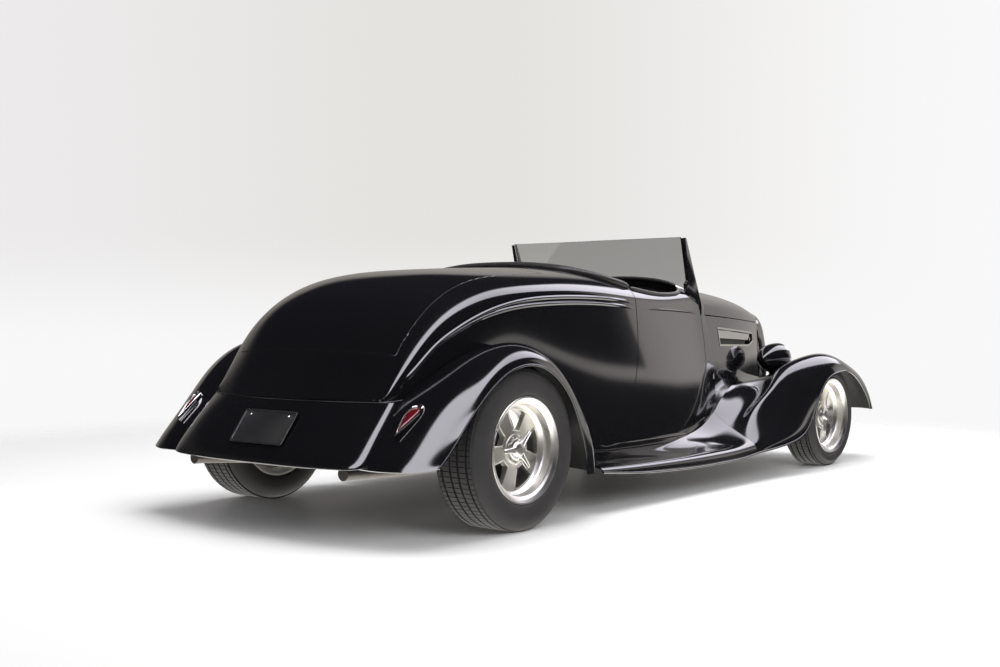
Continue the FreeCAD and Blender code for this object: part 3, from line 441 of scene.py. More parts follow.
def door_tool(grow, side):
    """Block that takes a door out of the skin, wider by grow all round."""
    rear = [(x - 1.08 * grow, z) for x, z in DOOR_REAR]
    rear[0] = (rear[0][0] - 0.5 * grow, DOOR_REAR[0][1] - grow)
    rear = flowing([at(x, 0, z) for x, z in rear], 8)
    loops = []
    bm = bmesh.new()
    for y in (500, 700):
        front = 1790 + grow + 0.17 * (y - 560)
        cowl_line = 1640 + 1.8 * grow
        cowl = [at(cowl_line - 30, 0, 1100), at(cowl_line, 0, 940 + grow), at(front - 1, 0, 884 + grow),
                at(front, 0, 883 + grow), at(front, 0, 268 - grow + 0.264 * (front - SILL_RISE)),
                at(SILL_RISE, 0, 268 - grow)]
        loops.append([bm.verts.new(point + Vector((0, side * y / 1000, 0))) for point in rear + cowl])
    inner, outer = loops
    bm.faces.new(inner)
    bm.faces.new(outer)
    edges = [bm.edges.get((a, b)) for loop in loops for a, b in zip(loop, loop[1:] + loop[:1])]
    bmesh.ops.bridge_loops(bm, edges=edges)
    bmesh.ops.recalc_face_normals(bm, faces=bm.faces)
    return shown("tool", bm)


LID_SEAM = [(560, 458, 1030, 0.0, 0.0), (400, 461, 1016, -0.05, 0.1), (100, 460, 981, -0.2, 0.35),
            (-130, 458, 892, -0.4, 0.4), (-259, 455, 792, -0.6, 0.4), (-345, 449, 680, -1.0, 0.4),
            (-374, 300, 692, -1.1, 0.1), (-390, 0, 700, -1.1, 0.0)]


def lid_tool(grow, edge_lines=False):
    """Block that takes the deck lid out; its sides lean so that the lid lifts clear."""
    bm = bmesh.new()
    loops = []
    for level in (450.0, 1250.0):
        side, tail = [], []
        for x, y, z, lean_x, lean_y in LID_SEAM:
            out_x = grow if x > 500 else 0.0 if x > -200 else -1.4 * grow
            out_y = grow if y > 400 else 0.0
            (side if y > 440 else tail).append(
                at(x + out_x + lean_x * (level - z), y + out_y + lean_y * (level - z), level))
        side = flowing(side, 6)
        half_tail = [side[-1]] + tail
        tail = flowing(mirrored_row(half_tail), 4)
        whole = side + tail[1:-1] + [Vector((p.x, -p.y, p.z)) for p in reversed(side)]
        loops.append([bm.verts.new(point) for point in whole])
    low, top = loops
    bm.faces.new(low)
    bm.faces.new(top)
    edges = [bm.edges.get((a, b)) for loop in loops for a, b in zip(loop, loop[1:] + loop[:1])]
    bmesh.ops.bridge_loops(bm, edges=edges)
    bmesh.ops.recalc_face_normals(bm, faces=bm.faces)
    low_line = [vert.co.copy() for vert in low]
    top_line = [vert.co.copy() for vert in top]
    tool = shown("tool", bm)
    return (tool, low_line, top_line) if edge_lines else tool


def wire_piece(name, points, radius, finish_used, closed):
    """Round wire along a line of points, as a mesh."""
    curve = bpy.data.curves.new(name, "CURVE")
    curve.dimensions = "3D"
    curve.bevel_depth = radius
    curve.bevel_resolution = 3
    curve.use_fill_caps = not closed
    spline = curve.splines.new("POLY")
    spline.points.add(len(points) - 1)
    for spot, point in zip(spline.points, points):
        spot.co = (*point, 1)
    spline.use_cyclic_u = closed
    holder = bpy.data.objects.new(name, curve)
    bpy.context.scene.collection.objects.link(holder)
    mesh = bpy.data.meshes.new_from_object(holder.evaluated_get(bpy.context.evaluated_depsgraph_get()))
    bpy.data.objects.remove(holder)
    bm = bmesh.new()
    bm.from_mesh(mesh)
    for face in bm.faces:
        face.smooth = True
    return shown(name, bm, finish_used)


for name, side in (("door_left", 1), ("door_right", -1)):
    door = copy_of(open_skin, name + "_skin")
    cut(door, door_tool(0.0, side), "INTERSECT")
    polish(door, skin)
    fitted(door, name, body=name)
lid = copy_of(skin, "deck_lid_skin")
lid_block, lid_low, lid_top = lid_tool(0.0, edge_lines=True)
cut(lid, lid_block, "INTERSECT")
polish(lid, skin)


def edge_on(base, lows, tops, depth):
    """Line where a cut's sloping wall meets the skin, a little below the surface."""
    line = []
    for low_spot, top_spot in zip(lows, tops):
        way = (low_spot - top_spot).normalized()
        found, spot, normal, face = base.ray_cast(top_spot, way)
        line.append(spot - normal * depth)
    return line


hem_line = edge_on(skin, lid_low, lid_top, 0.0010)
fitted(wire_piece("deck_lid_hem", hem_line, 0.0014, paint, True), body="deck_lid")
seal_block, seal_low, seal_top = lid_tool(0.5 * SEAM, edge_lines=True)
bpy.data.objects.remove(seal_block)
fitted(wire_piece("deck_seal", edge_on(skin, seal_low, seal_top, 0.009), 0.0022, satin, True))
fitted(lid, "deck_lid", body="deck_lid")
tub = open_skin
tub.name = "tub_skin"
for side in (1, -1):
    cut(tub, door_tool(SEAM, side))
cut(tub, lid_tool(SEAM))
polish(tub, skin)
fitted(tub, "body_tub")

# Belt moulding
# Two pressed beads run side by side from just behind the door, along the quarter and down to the
# tail, and a low crease runs along the door. They have the lacquer of the skin.
BELT_LINE = [(1086, 604, 884), (850, 610, 901), (610, 612, 905), (400, 608, 899), (200, 600, 880),
             (20, 588, 838), (-120, 570, 780), (-230, 553, 715), (-320, 532, 632), (-390, 508, 566)]
BELT_APART = 26


def moulding(name, line, width, height, body):
    """Raised bead that follows a line on the skin and flows into it at both sides and at its ends."""
    across_steps = 12
    points = flowing([at(*p) for p in line], 8)
    bm = bmesh.new()
    bmesh.ops.create_grid(bm, x_segments=across_steps, y_segments=len(points) - 1, size=1.0)
    bm.verts.ensure_lookup_table()
    for k, point in enumerate(points):
        way = (points[min(k + 1, len(points) - 1)] - points[max(k - 1, 0)]).normalized()
        found, foot, normal, face = skin.closest_point_on_mesh(point)
        side_way = normal.cross(way).normalized()
        ending = min(1.0, min(k, len(points) - 1 - k) / 7.0)
        for j in range(across_steps + 1):
            u = 2 * j / across_steps - 1
            found, place, up, face = skin.closest_point_on_mesh(foot + side_way * (u * width / 2))
            rise = height * ending * (0.5 + 0.5 * math.cos(math.pi * u)) ** 0.7 - 0.00015
            bm.verts[k * (across_steps + 1) + j].co = place + up * rise
    for each in bm.faces:
        each.smooth = True
    bmesh.ops.reverse_faces(bm, faces=bm.faces)
    fitted(shown(name, bm, paint), body=body)


for name, side in (("left", 1), ("right", -1)):
    for label, drop_by in (("upper", 0.5), ("lower", -0.5)):
        line = [(x, side * y, z + drop_by * BELT_APART * min(1.0, max(0.12, (x + 380) / 700)))
                for x, y, z in BELT_LINE]
        moulding("belt_%s_%s" % (label, name), line, 0.017, 0.0055, "chassis")
    line = [(x, side * y, z) for x, y, z in ((1112, 602, 869), (1350, 590, 866), (1600, 570, 857),
                                             (1776, 546, 848))]
    moulding("door_crease_" + name, line, 0.012, 0.0016, "door_" + name)

# Hood
# Crowned lid and two fixed sides of sheet steel. Each side has a long opening with a polished frame
# and two blades in it, the upper one plated and the lower one dark.
HOOD = [
    # edge x, y, z; centre x, z; lower x, y, z; swell of the side and the share of its wave shown
    (1863, 526, 843, 1863, 1009, 1944.8, 539, 330, 20, 0.865),
    (2130, 480, 832, 2150, 993, 2190, 486, 415, 14, 1.0),
    (2400, 424, 820, 2450, 968, 2425, 428, 452, 10, 1.0),
    (2640, 363, 809, 2730, 930, 2672, 354, 458, 9, 1.0),
    (2847, 302, 800, 3005, 872, 2934, 271, 452, 8, 1.0),
]


def hood_top_row(ex, ey, ez, cx, cz, *lower):
    half = []
    for k in range(5):
        angle = math.pi / 2 * k / 4
        y = ey * math.cos(angle) ** 0.85
        z = ez + (cz - ez) * math.sin(angle) ** 0.85
        half.append(at(cx + (ex - cx) * (y / ey) ** 1.6, y, z))
    return mirrored_row(half)


def hood_side_row(side, ex, ey, ez, cx, cz, lx, ly, lz, swell, share):
    back = -4.7 if ex < 1900 else 0.0
    row = []
    for d in (1.0, 0.75, 0.5, 0.25, 0.012):
        y = ey + (ly - ey) * d + swell * math.sin(math.pi * d * share)
        row.append(at(ex + back + (lx - ex - back) * d, side * y, ez + (lz - ez) * d))
    return row


hood_lid = sheet_metal("hood_lid", [hood_top_row(*row) for row in reversed(HOOD)], 0.014, (paint, satin),
                       outside_up=False)
fitted(hood_lid, "hood_top", body="hood_top")

VENT = [(2030, 768), (2040, 688), (2600, 676), (2700, 700), (2690, 734)]
VENT_FRAME = 10.0


def vent_tool(grow, side):
    (ax, az), (bx, bz), (cx, cz), (dx, dz), (ex, ez) = VENT
    ring = [(ax - grow, az + grow), (bx - grow, bz - grow), (cx, cz - grow), (dx + grow, dz - grow),
            (ex + grow, ez + grow)]
    return slab([at(x, side * 300, z) for x, z in ring], Vector((0, side * 0.26, 0)))


def chrome_look(start, place):
    streak = cloud(start, place, 30.0, 2.0)
    return {"Roughness": 0.05 + 0.05 * streak,
            "Base Color": streak.blend((0.80, 0.79, 0.76, 1), (0.72, 0.715, 0.70, 1))}


chrome = finish("chrome_trim", {"Metallic": 1.0}, chrome_look)
for name, side in (("left", 1), ("right", -1)):
    rows = [hood_side_row(side, *row) for row in reversed(HOOD)]
    flank = sheet_metal("hood_side_" + name, rows, 0.010, (paint, satin), outside_up=side < 0)
    trim = sheet_metal("vent_trim_" + name, rows, 0.006, (chrome,), outside_up=side < 0)
    for vert in trim.data.vertices:
        vert.co.y += side * 0.002
    for label, low_share, high_share, deep, blade_finish in (("upper", 0.40, 1.02, 0.010, chrome),
                                                             ("lower", 0.0, 0.36, 0.020, satin)):
        blade = sheet_metal("vent_blade_%s_%s" % (label, name), rows, 0.004, (blade_finish,),
                            outside_up=side < 0)
        for vert in blade.data.vertices:
            vert.co.y -= side * deep
        ring = []
        for (lx, lz), (hx, hz) in (((2040, 688), (2030, 768)), ((2570, 678), (2690, 733))):
            for share in ((low_share, high_share) if not ring else (high_share, low_share)):
                ring.append(at(lx + (hx - lx) * share, side * 300, lz + (hz - lz) * share))
        cut(blade, slab(ring, Vector((0, side * 0.26, 0))), "INTERSECT")
        blade.data.set_sharp_from_angle(angle=math.radians(35))
        fitted(blade, slot="chrome_trim")
    cut(flank, vent_tool(0.0, side))
    cut(trim, vent_tool(VENT_FRAME, side), "INTERSECT")
    cut(trim, vent_tool(0.0, side))
    for piece, node in ((flank, "hood_sides"), (trim, "vent_trims")):
        piece.data.set_sharp_from_angle(angle=math.radians(35))
        fitted(piece, node)

# Grille shell
# Pressed steel shell with a vee front that leans back, painted like the body. Its bars sit on the
# shell's inner lip.
SHELL_RING = [(175, 330), (242, 420), (288, 540), (302, 680), (292, 790), (205, 846), (95, 868), (0, 876)]


def shell_row(push, scale_y, scale_z, lean):
    half = []
    for y, z in SHELL_RING:
        nose = 156 * max(0.0, 1 - (y / 300.0) ** 1.6) * (1 if z > 795 else 0.35)
        edge = 2853 + (803 - min(z, 803)) * 0.24 + nose
        half.append(at(edge + push + lean * (876 - z), y * scale_y, 620 + (z - 620) * scale_z))
    return mirrored_row(half)


shell_rows = [shell_row(120, 0.80, 0.90, 0.10), shell_row(128, 0.84, 0.93, 0.10),
              shell_row(112, 0.90, 0.97, 0.08), shell_row(60, 0.98, 1.0, 0.04), shell_row(0, 1.0, 1.0, 0.0)]
shell = sheet_metal("grille_surround", shell_rows, 0.006, (paint, satin), outside_up=False)
fitted(shell, "grille_shell")
nodes["grille_bars"].data.materials.clear()
nodes["grille_bars"].data.materials.append(chrome)

# Fenders, running boards, tail pan and front apron
# Wide pressed fenders bolted to the body along a tight crease, with a wired lip round each wheel
# opening. The boards carry their line from one to the other.
REAR_FENDER = [
    [(548, 596, 186), (535, 690, 186), (505, 765, 184), (455, 822, 184), (385, 836, 188)],
    [(545, 592, 330), (517, 690, 336), (474, 768, 336), (430, 822, 325), (365, 836, 300)],
    [(470, 590, 500), (442, 690, 508), (382, 768, 500), (350, 822, 458), (318, 836, 415)],
    [(310, 588, 630), (297, 690, 645), (258, 768, 632), (250, 820, 582), (238, 836, 535)],
    [(110, 588, 698), (106, 690, 722), (92, 765, 713), (92, 818, 676), (86, 836, 633)],
    [(-90, 584, 690), (-95, 690, 712), (-108, 765, 700), (-112, 818, 665), (-96, 836, 634)],
    [(-255, 552, 610), (-270, 680, 624), (-275, 760, 600), (-262, 815, 570), (-240, 834, 556)],
    [(-385, 506, 520), (-405, 640, 512), (-395, 735, 495), (-365, 804, 460), (-335, 828, 470)],
    [(-500, 478, 420), (-505, 620, 415), (-490, 722, 400), (-450, 792, 376), (-410, 822, 385)],
    [(-572, 474, 330), (-580, 610, 328), (-565, 712, 322), (-520, 780, 312), (-470, 816, 320)],
    [(-606, 476, 276), (-616, 600, 275), (-602, 700, 277), (-556, 772, 280), (-505, 812, 290)],
]
FRONT_FENDER = [
    [(3275, 362, 287), (3375, 440, 284), (3455, 545, 283), (3487, 655, 284), (3402, 772, 286),
     (3322, 795, 291)],
    [(3235, 350, 375), (3330, 440, 388), (3395, 550, 402), (3432, 662, 403), (3332, 776, 390),
     (3284, 799, 352)],
    [(3160, 330, 440), (3215, 430, 470), (3275, 550, 502), (3300, 668, 512), (3205, 783, 484),
     (3150, 808, 450)],
    [(3040, 312, 470), (3062, 415, 496), (3085, 540, 546), (3090, 672, 582), (3032, 790, 550),
     (2970, 826, 519)],
    [(2860, 258, 474), (2858, 410, 489), (2858, 540, 533), (2855, 682, 618), (2848, 792, 591),
     (2835, 830, 525)],
    [(2660, 330, 474), (2660, 420, 483), (2655, 552, 531), (2650, 692, 610), (2672, 792, 560),
     (2690, 828, 494)],
    [(2440, 395, 482), (2445, 470, 478), (2430, 590, 506), (2420, 702, 556), (2485, 793, 465),
     (2574, 822, 388)],
    [(2240, 450, 468), (2240, 540, 440), (2245, 648, 424), (2235, 715, 450), (2330, 798, 332),
     (2474, 818, 254)],
    [(2070, 492, 426), (2070, 575, 384), (2075, 650, 345), (2075, 704, 340), (2150, 797, 240),
     (2296, 816, 178)],
    [(1912, 520, 380), (1912, 590, 310), (1912, 662, 262), (1912, 735, 222), (1912, 786, 188),
     (1912, 801, 146)],
]
BOARD = [
    [(1911.7, 520, 380), (1911.7, 590, 310), (1911.7, 662, 262), (1911.7, 735, 222), (1911.7, 786, 188),
     (1911.7, 801, 146)],
    [(1740, 545, 302), (1740, 610, 252), (1740, 670, 220), (1740, 735, 198), (1740, 786, 178),
     (1740, 800, 132)],
    [(1540, 570, 262), (1540, 625, 228), (1540, 675, 206), (1540, 735, 192), (1540, 786, 174),
     (1540, 800, 129)],
    [(1280, 580, 243), (1280, 632, 215), (1280, 680, 198), (1280, 735, 188), (1280, 786, 174),
     (1280, 800, 130)],
    [(900, 584, 244), (900, 632, 218), (900, 680, 202), (900, 735, 193), (900, 786, 180), (900, 799, 146)],
    [(551.4, 560, 250), (551.4, 632, 226), (551.4, 680, 212), (551.4, 735, 203), (551.4, 784, 194),
     (551.4, 798, 176)],
]


def stretched(table, crown):
    """The table's rows with their top brought to the crown height, measured from 150 mm up."""
    top = max(z for row in table for x, y, z in row)
    return [[(x, y, 150 + (z - 150) * (crown - 150) / (top - 150)) for x, y, z in row] for row in table]


rear_table = stretched(REAR_FENDER, 722)
front_table = stretched(FRONT_FENDER, 620)
for name, side in (("left", 1), ("right", -1)):
    for label, table, node in (("rear_fender_", rear_table, "rear_fenders"),
                               ("front_fender_", front_table, "front_fenders"),
                               ("running_board_", BOARD, "running_boards")):
        rows = [[at(x, side * y, z) for x, y, z in row] for row in table]
        fitted(sheet_metal(label + name, rows, 0.006, (paint, satin), outside_up=side > 0), node)
    for label, line, radius in (("rear_lip_", [row[-1] for row in rear_table], 0.005),
                                ("front_lip_", [row[-1] for row in front_table], 0.005),
                                ("board_lip_", [row[-1] for row in BOARD], 0.004)):
        lip_line = flowing([at(x, side * y, z) for x, y, z in line], 6)
        fitted(wire_piece(label + name, lip_line, radius, paint, False))

PAN = [
    [(-664, 0, 272), (-660, 250, 272), (-645, 415, 274), (-632, 494, 277), (-604, 540, 283),
     (-556, 562, 292)],
    [(-692, 0, 284), (-686, 250, 284), (-666, 415, 286), (-648, 496, 288), (-616, 545, 294),
     (-566, 568, 303)],
    [(-618, 0, 390), (-610, 250, 390), (-590, 405, 391), (-570, 484, 393), (-540, 530, 397),
     (-494, 552, 404)],
    [(-527, 0, 506), (-509, 250, 507), (-484, 388, 508.5), (-461, 470, 509), (-436, 512, 511),
     (-396, 532, 515)],
]
APRON = [
    [(3150, 0, 330), (3120, 180, 330), (3060, 330, 340)],
    [(3250, 0, 285), (3235, 190, 285), (3200, 355, 290)],
    [(3240, 0, 245), (3225, 190, 247), (3195, 355, 252)],
]
for name, table, node in (("tail_pan", PAN, "rear_pan"), ("nose_apron", APRON, "front_apron")):
    rows = [[at(x, y, z) for x, y, z in reversed(row)] + [at(x, -y, z) for x, y, z in row[1:]]
            for row in table]
    fitted(sheet_metal(name, rows, 0.006, (paint, satin), outside_up=True), node)
# A narrow strip runs along each sill, under the door and back to the rear fender.
SKIN_END = 600.0


def skin_side(x, z):
    """Half width of the body's flank in millimetres, or a chosen one where the skin ends above."""
    found, spot, normal, face = skin.ray_cast(at(x, -1200, z), Vector((0, 1, 0)))
    return abs(spot.y) * 1000 if found else SKIN_END


for name, side in (("left", 1), ("right", -1)):
    rows = []
    for x in (1590, 1540, 1470, 1380, 1280, 1160, 1040, 920, 800, 700, 630, 580):
        low, high = skin_side(x, 246), skin_side(x, 261)
        rows.append([at(x, side * y, z) for y, z in (
            (low - 9, 200), (low - 3, 226), (low + 1.6, 243), ((low + high) / 2 + 2.2, 253),
            (high + 1.2, 261.5))])
    fitted(sheet_metal("sill_strip_" + name, rows, 0.003, (paint, satin), outside_up=side < 0))
welt_line = PAN[-1]
welt_line = [(x, y, z + 1) for x, y, z in reversed(welt_line)] + [(x, -y, z + 1) for x, y, z in welt_line[1:]]
fitted(wire_piece("pan_welt", flowing([at(*p) for p in welt_line], 8), 0.0032, paint, False))

# Windshield
# One flat pane of grey tinted glass between two raked posts, which stand on the cowl's sides. The
# posts are cast, painted like the body, and their edges are rounded.


def glass_look(start, place):
    return {"Roughness": 0.004 + 0.012 * cloud(start, place, 5.0),
            "Base Color": cloud(start, place, 1.5).blend((0.36, 0.355, 0.35, 1), (0.40, 0.395, 0.385, 1))}


tinted = finish("tinted_glass", {"Transmission Weight": 1.0, "IOR": 1.45}, glass_look)


def refinish(node, *finishes):
    """Gives a piece of the frame a better finish and leaves its shape alone."""
    materials = nodes[node].data.materials
    for slot in range(len(materials)):
        materials[slot] = finishes[min(slot, len(finishes) - 1)]
    if not len(materials):
        materials.append(finishes[0])


def softened(node, width, finish_used, slot=None):
    """A copy of a plain piece with its edges rounded."""
    source = nodes[node]
    bm = bmesh.new()
    bm.from_mesh(source.data)
    bmesh.ops.remove_doubles(bm, verts=bm.verts, dist=0.00001)
    bmesh.ops.dissolve_limit(bm, angle_limit=math.radians(1.0), verts=bm.verts, edges=bm.edges)
    edges = [edge for edge in bm.edges if len(edge.link_faces) == 2
             and edge.calc_face_angle() > math.radians(28)]
    bmesh.ops.bevel(bm, geom=edges, offset=width, offset_type="OFFSET", segments=3, profile=0.5,
                    affect="EDGES", clamp_overlap=True, material=-1)
    for face in bm.faces:
        face.smooth = True
    piece = shown(node + "_finished", bm, finish_used)
    piece.data.set_sharp_from_angle(angle=math.radians(40))
    fitted(piece, node, slot=slot)


refinish("windshield_glass", tinted)
softened("windshield_posts", 0.004, paint)

# Lamps
# The headlamps are spun steel shells in gloss black with a plated rim, a ribbed lens and a bright
# bowl behind it. The tail lamps are red drops in cast, plated surrounds that stand on the fenders.


def ring_skin(loops, capped=True):
    """Closed skin through rings of points, one ring after another."""
    around = len(loops[0])
    bm = bmesh.new()
    bmesh.ops.create_grid(bm, x_segments=around, y_segments=len(loops) - 1, size=1.0)
    bm.verts.ensure_lookup_table()
    for k, loop in enumerate(loops):
        for j in range(around + 1):
            bm.verts[k * (around + 1) + j].co = loop[j % around]
    bmesh.ops.remove_doubles(bm, verts=bm.verts, dist=0.000001)
    if capped:
        bmesh.ops.holes_fill(bm, edges=[edge for edge in bm.edges if edge.is_boundary], sides=0)
    bmesh.ops.recalc_face_normals(bm, faces=bm.faces)
    for face in bm.faces:
        face.smooth = True
    return bm


def spun(profile, centre, axis, steps=64, closed=False):
    """Body of revolution: the profile gives the place along the axis and the radius, in millimetres."""
    along = Vector(axis).normalized()
    out = Vector((0, 0, 1)) if abs(along.z) < 0.9 else Vector((1, 0, 0))
    out = (out - along * out.dot(along)).normalized()
    bm = bmesh.new()
    verts = [bm.verts.new(centre + along * (a / 1000) + out * (r / 1000)) for a, r in profile]
    pairs = list(zip(verts, verts[1:] + verts[:1])) if closed else list(zip(verts, verts[1:]))
    edges = [bm.edges.new(pair) for pair in pairs]
    bmesh.ops.spin(bm, geom=verts + edges, cent=centre, axis=along, angle=math.tau, steps=steps,
                   use_merge=True)
    bmesh.ops.remove_doubles(bm, verts=bm.verts, dist=0.00001)
    bmesh.ops.recalc_face_normals(bm, faces=bm.faces)
    for face in bm.faces:
        face.smooth = True
    return bm


def placed(name, bm, finish_used, *stands_for, body="chassis", sharp=38):
    piece = shown(name, bm, finish_used)
    piece.data.set_sharp_from_angle(angle=math.radians(sharp))
    return fitted(piece, *stands_for, body=body)


def smooth_profile(points, steps=4):
    return [(p.x, p.y) for p in flowing([Vector((a, r, 0)) for a, r in points], steps)]


def lamp_glass_look(start, place):
    ribs = start.node("TexWave", {"bands_direction": "Y"}, {"Vector": place, "Scale": 40.0})
    return {"Base Color": cloud(start, place, 8.0).blend((0.88, 0.89, 0.90, 1), (0.95, 0.95, 0.96, 1)),
            "Roughness": 0.03 + 0.05 * cloud(start, place, 12.0),
            "Normal": relief(start, ribs, 0.001, 0.5)}


def red_lens_look(start, place):
    ribs = start.node("TexWave", {"bands_direction": "Z"}, {"Vector": place, "Scale": 45.0})
    return {"Base Color": cloud(start, place, 20.0).blend((0.075, 0.003, 0.006, 1), (0.12, 0.004, 0.008, 1)),
            "Roughness": 0.06 + 0.06 * cloud(start, place, 30.0),
            "Normal": relief(start, ribs, 0.0008, 0.35)}


lamp_glass = finish("lamp_glass", {"Transmission Weight": 1.0, "IOR": 1.46}, lamp_glass_look)
red_lens = finish("red_lens", {"Coat Weight": 1.0, "Coat Roughness": 0.02}, red_lens_look)
BUCKET = [(-140, 0), (-139.5, 5), (-134, 18), (-112, 43), (-66, 69), (-10, 82), (30, 85.3), (40, 85)]
TEAR = [(0, 0.0), (10, 0.17), (20, 0.37), (28, 0.58), (30.5, 0.75), (25, 0.90), (13, 0.98), (0, 1.0)]
RIM = [(38, 85.4), (46, 86.2), (53, 85), (57, 80), (58, 76), (54, 75), (50, 76), (44, 76)]
BOWL = [(0, 0), (6, 28), (22, 56), (46, 75)]
DOME = smooth_profile([(76, 0.0), (73, 35), (65, 62), (54, 76)])
AHEAD = (1, 0, 0)
for name, side in (("left", 1), ("right", -1)):
    lamp = at(2712, side * 480, 597)
    for label, profile, closed, finish_used, node in (
            ("shell", smooth_profile(BUCKET[:-1]) + [(44, 84.5), (44, 72)], False, paint, "headlamp_buckets"),
            ("rim", RIM, True, chrome, "headlamp_buckets"),
            ("bowl", smooth_profile(BOWL), False, chrome, "headlamp_buckets"),
            ("lens", DOME + [(51, 75)] + [(a - 3, r * 0.97) for a, r in reversed(DOME)], False, lamp_glass,
             "headlamp_lenses")):
        placed("headlamp_%s_%s" % (label, name), spun(profile, lamp, AHEAD, closed=closed), finish_used, node)
    stem = []
    for k in range(7):
        part = k / 6
        wide = 30 - 12 * math.sin(math.pi * min(1.0, part * 1.1))
        centre = at(2707, side * (480 - 8 * part), 545 - 108 * part)
        turns = [math.tau * j / 24 for j in range(24)]
        stem.append([centre + Vector((math.cos(a) * wide * 1.2, math.sin(a) * wide, 0)) / 1000
                     for a in turns])
    placed("headlamp_stem_" + name, ring_skin(stem), paint, "headlamp_buckets")

    tail_low = at(-534, side * 630, 386)
    tail_top = at(-408, side * 642, 498)
    up = tail_top - tail_low
    reach = up.length
    up.normalize()
    across = Vector((0.30, side, 0)).normalized()
    out = across.cross(up).normalized()
    if out.x > 0:
        out = -out
    outline = TEAR + [(-w, t) for w, t in reversed(TEAR[:-1])]
    ring = [(p.x, p.y) for p in flowing([Vector((w, t * 100, 0)) for w, t in outline], 5)][:-1]
    ring = [(w, t / 100) for w, t in ring]

    def drop(scale, depth):
        middle = 0.53
        return [tail_low + up * (reach * (middle + (t - middle) * scale)) + across * (w * scale / 1000)
                + out * (depth / 1000) for w, t in ring]

    bezel = [drop(1.0, -22), drop(1.0, 11), drop(0.985, 16), drop(0.94, 20), drop(0.88, 22), drop(0.82, 21.5),
             drop(0.765, 18.5), drop(0.74, 13), drop(0.74, 0)]
    placed("taillamp_bezel_" + name, ring_skin(bezel), chrome, "taillamp_bezels")
    lens = [drop(0.745, 4), drop(0.745, 15), drop(0.70, 18.5), drop(0.55, 21.5), drop(0.3, 23),
            drop(0.08, 23.4)]
    placed("taillamp_lens_" + name, ring_skin(lens), red_lens, "taillamp_lenses")

# Plate
# A blank pressed plate, dark, with a rolled border, held by two round-headed screws to the pan.


def plate_look(start, place):
    grain = cloud(start, place, 500.0, 3.0)
    return {"Base Color": cloud(start, place, 12.0).blend((0.012, 0.012, 0.014, 1), (0.022, 0.021, 0.023, 1)),
            "Roughness": 0.34 + 0.18 * grain,
            "Normal": relief(start, grain, 0.0003, 0.2)}


plate_dark = finish("plate_dark", {"Coat Weight": 0.25}, plate_look)
plate_up = Vector((80, 0, 108)).normalized()
plate_out = Vector((-plate_up.z, 0, plate_up.x))
plate_foot = at(-661, 0, 341)


def plate_loop(inset, depth, corner):
    loop = []
    for cx, cz, turn in ((1, 1, 0), (-1, 1, 90), (-1, -1, 180), (1, -1, 270)):
        for k in range(6):
            angle = math.radians(turn + 18 * k)
            wide = 152 - inset - corner
            tall = 76 - inset - corner
            loop.append(plate_foot + Vector((0, 1, 0)) * ((cx * wide + corner * math.cos(angle)) / 1000)
                        + plate_up * ((76 + cz * tall + corner * math.sin(angle)) / 1000)
                        + plate_out * (depth / 1000))
    return loop


placed("plate", ring_skin([plate_loop(1.5, 0, 10), plate_loop(0, 1.0, 11), plate_loop(0, 3.6, 11),
                           plate_loop(1.2, 4.6, 10), plate_loop(4.5, 5.0, 8), plate_loop(8, 4.4, 6),
                           plate_loop(10, 2.6, 5)]), plate_dark, "licence_plate")
for name, y in (("left", 110), ("right", -110)):
    screw_at = plate_foot + Vector((0, y / 1000, 0)) + plate_up * 0.130 + plate_out * 0.0025
    placed("plate_screw_" + name,
           spun([(0, 0), (0, 6.5), (1.6, 6.2), (2.8, 4.6), (3.4, 2.2), (3.4, 1.6), (2.4, 1.4), (2.4, 0)],
                screw_at, plate_out, 20), chrome, "licence_plate")

# Wheels and tyres
# Cast five-spoke centres in polished deep rims. The edges of the windows are machined bright, and a
# ring of studs stands round a domed cap with a three-bar spinner. The tyres have a block tread.


def rubber_look(start, place):
    dust = cloud(start, place, 14.0, 5.0)
    return {"Base Color": dust.blend((0.020, 0.019, 0.020, 1), (0.036, 0.034, 0.034, 1)),
            "Roughness": 0.50 + 0.2 * dust,
            "Normal": relief(start, cloud(start, place, 600.0, 2.0), 0.0003, 0.3)}


def alloy_look(start, place):
    grain = cloud(start, place, 900.0, 3.0)
    return {"Base Color": cloud(start, place, 8.0).blend((0.80, 0.785, 0.73, 1), (0.88, 0.865, 0.81, 1)),
            "Roughness": 0.36 + 0.14 * grain,
            "Normal": relief(start, grain, 0.0003, 0.25)}


def lip_look(start, place):
    swirl = cloud(start, place, 45.0, 3.0)
    return {"Base Color": swirl.blend((0.93, 0.92, 0.885, 1), (0.86, 0.85, 0.82, 1)),
            "Roughness": 0.30 + 0.12 * swirl}


rubber = finish("tyre_rubber", {"Specular IOR Level": 0.42}, rubber_look)
alloy = finish("wheel_alloy", {"Metallic": 1.0}, alloy_look)
polished = finish("wheel_polished", {"Metallic": 1.0}, lip_look)
LIP_R = 209.0
LIP_FRONT = [(-10, 209), (-1, 209.3), (1.2, 207.5), (1.2, 203), (-1, 199.5), (-5, 192), (-9, 187), (-15, 183),
             (-17, 180), (-30, 179), (-48, 178.5), (-53, 176), (-58, 171), (-62, 167), (-66, 164)]
DISC = [(-68, 166), (-69, 150), (-67, 120), (-63, 92), (-60, 72), (-58, 62), (-52, 59), (-50, 55), (-50, 30),
        (-92, 30), (-92, 62), (-86, 92), (-87, 120), (-90, 150), (-90, 166)]
CAP = [(-52, 0), (-52, 43), (-46, 43), (-44, 41), (-43, 33), (-41, 31.5), (-36, 30.5), (-31.5, 27.5),
       (-28.5, 22.5), (-26.8, 16), (-26, 9), (-25.8, 0)]
STUD = [(0, 0), (0, 5), (6, 5), (8.5, 3.8), (9.5, 0)]
STUDS = 10
WINDOW = [(74, 15), (80, 22), (112, 39), (142, 54), (150, 50), (156, 34), (159, 0)]
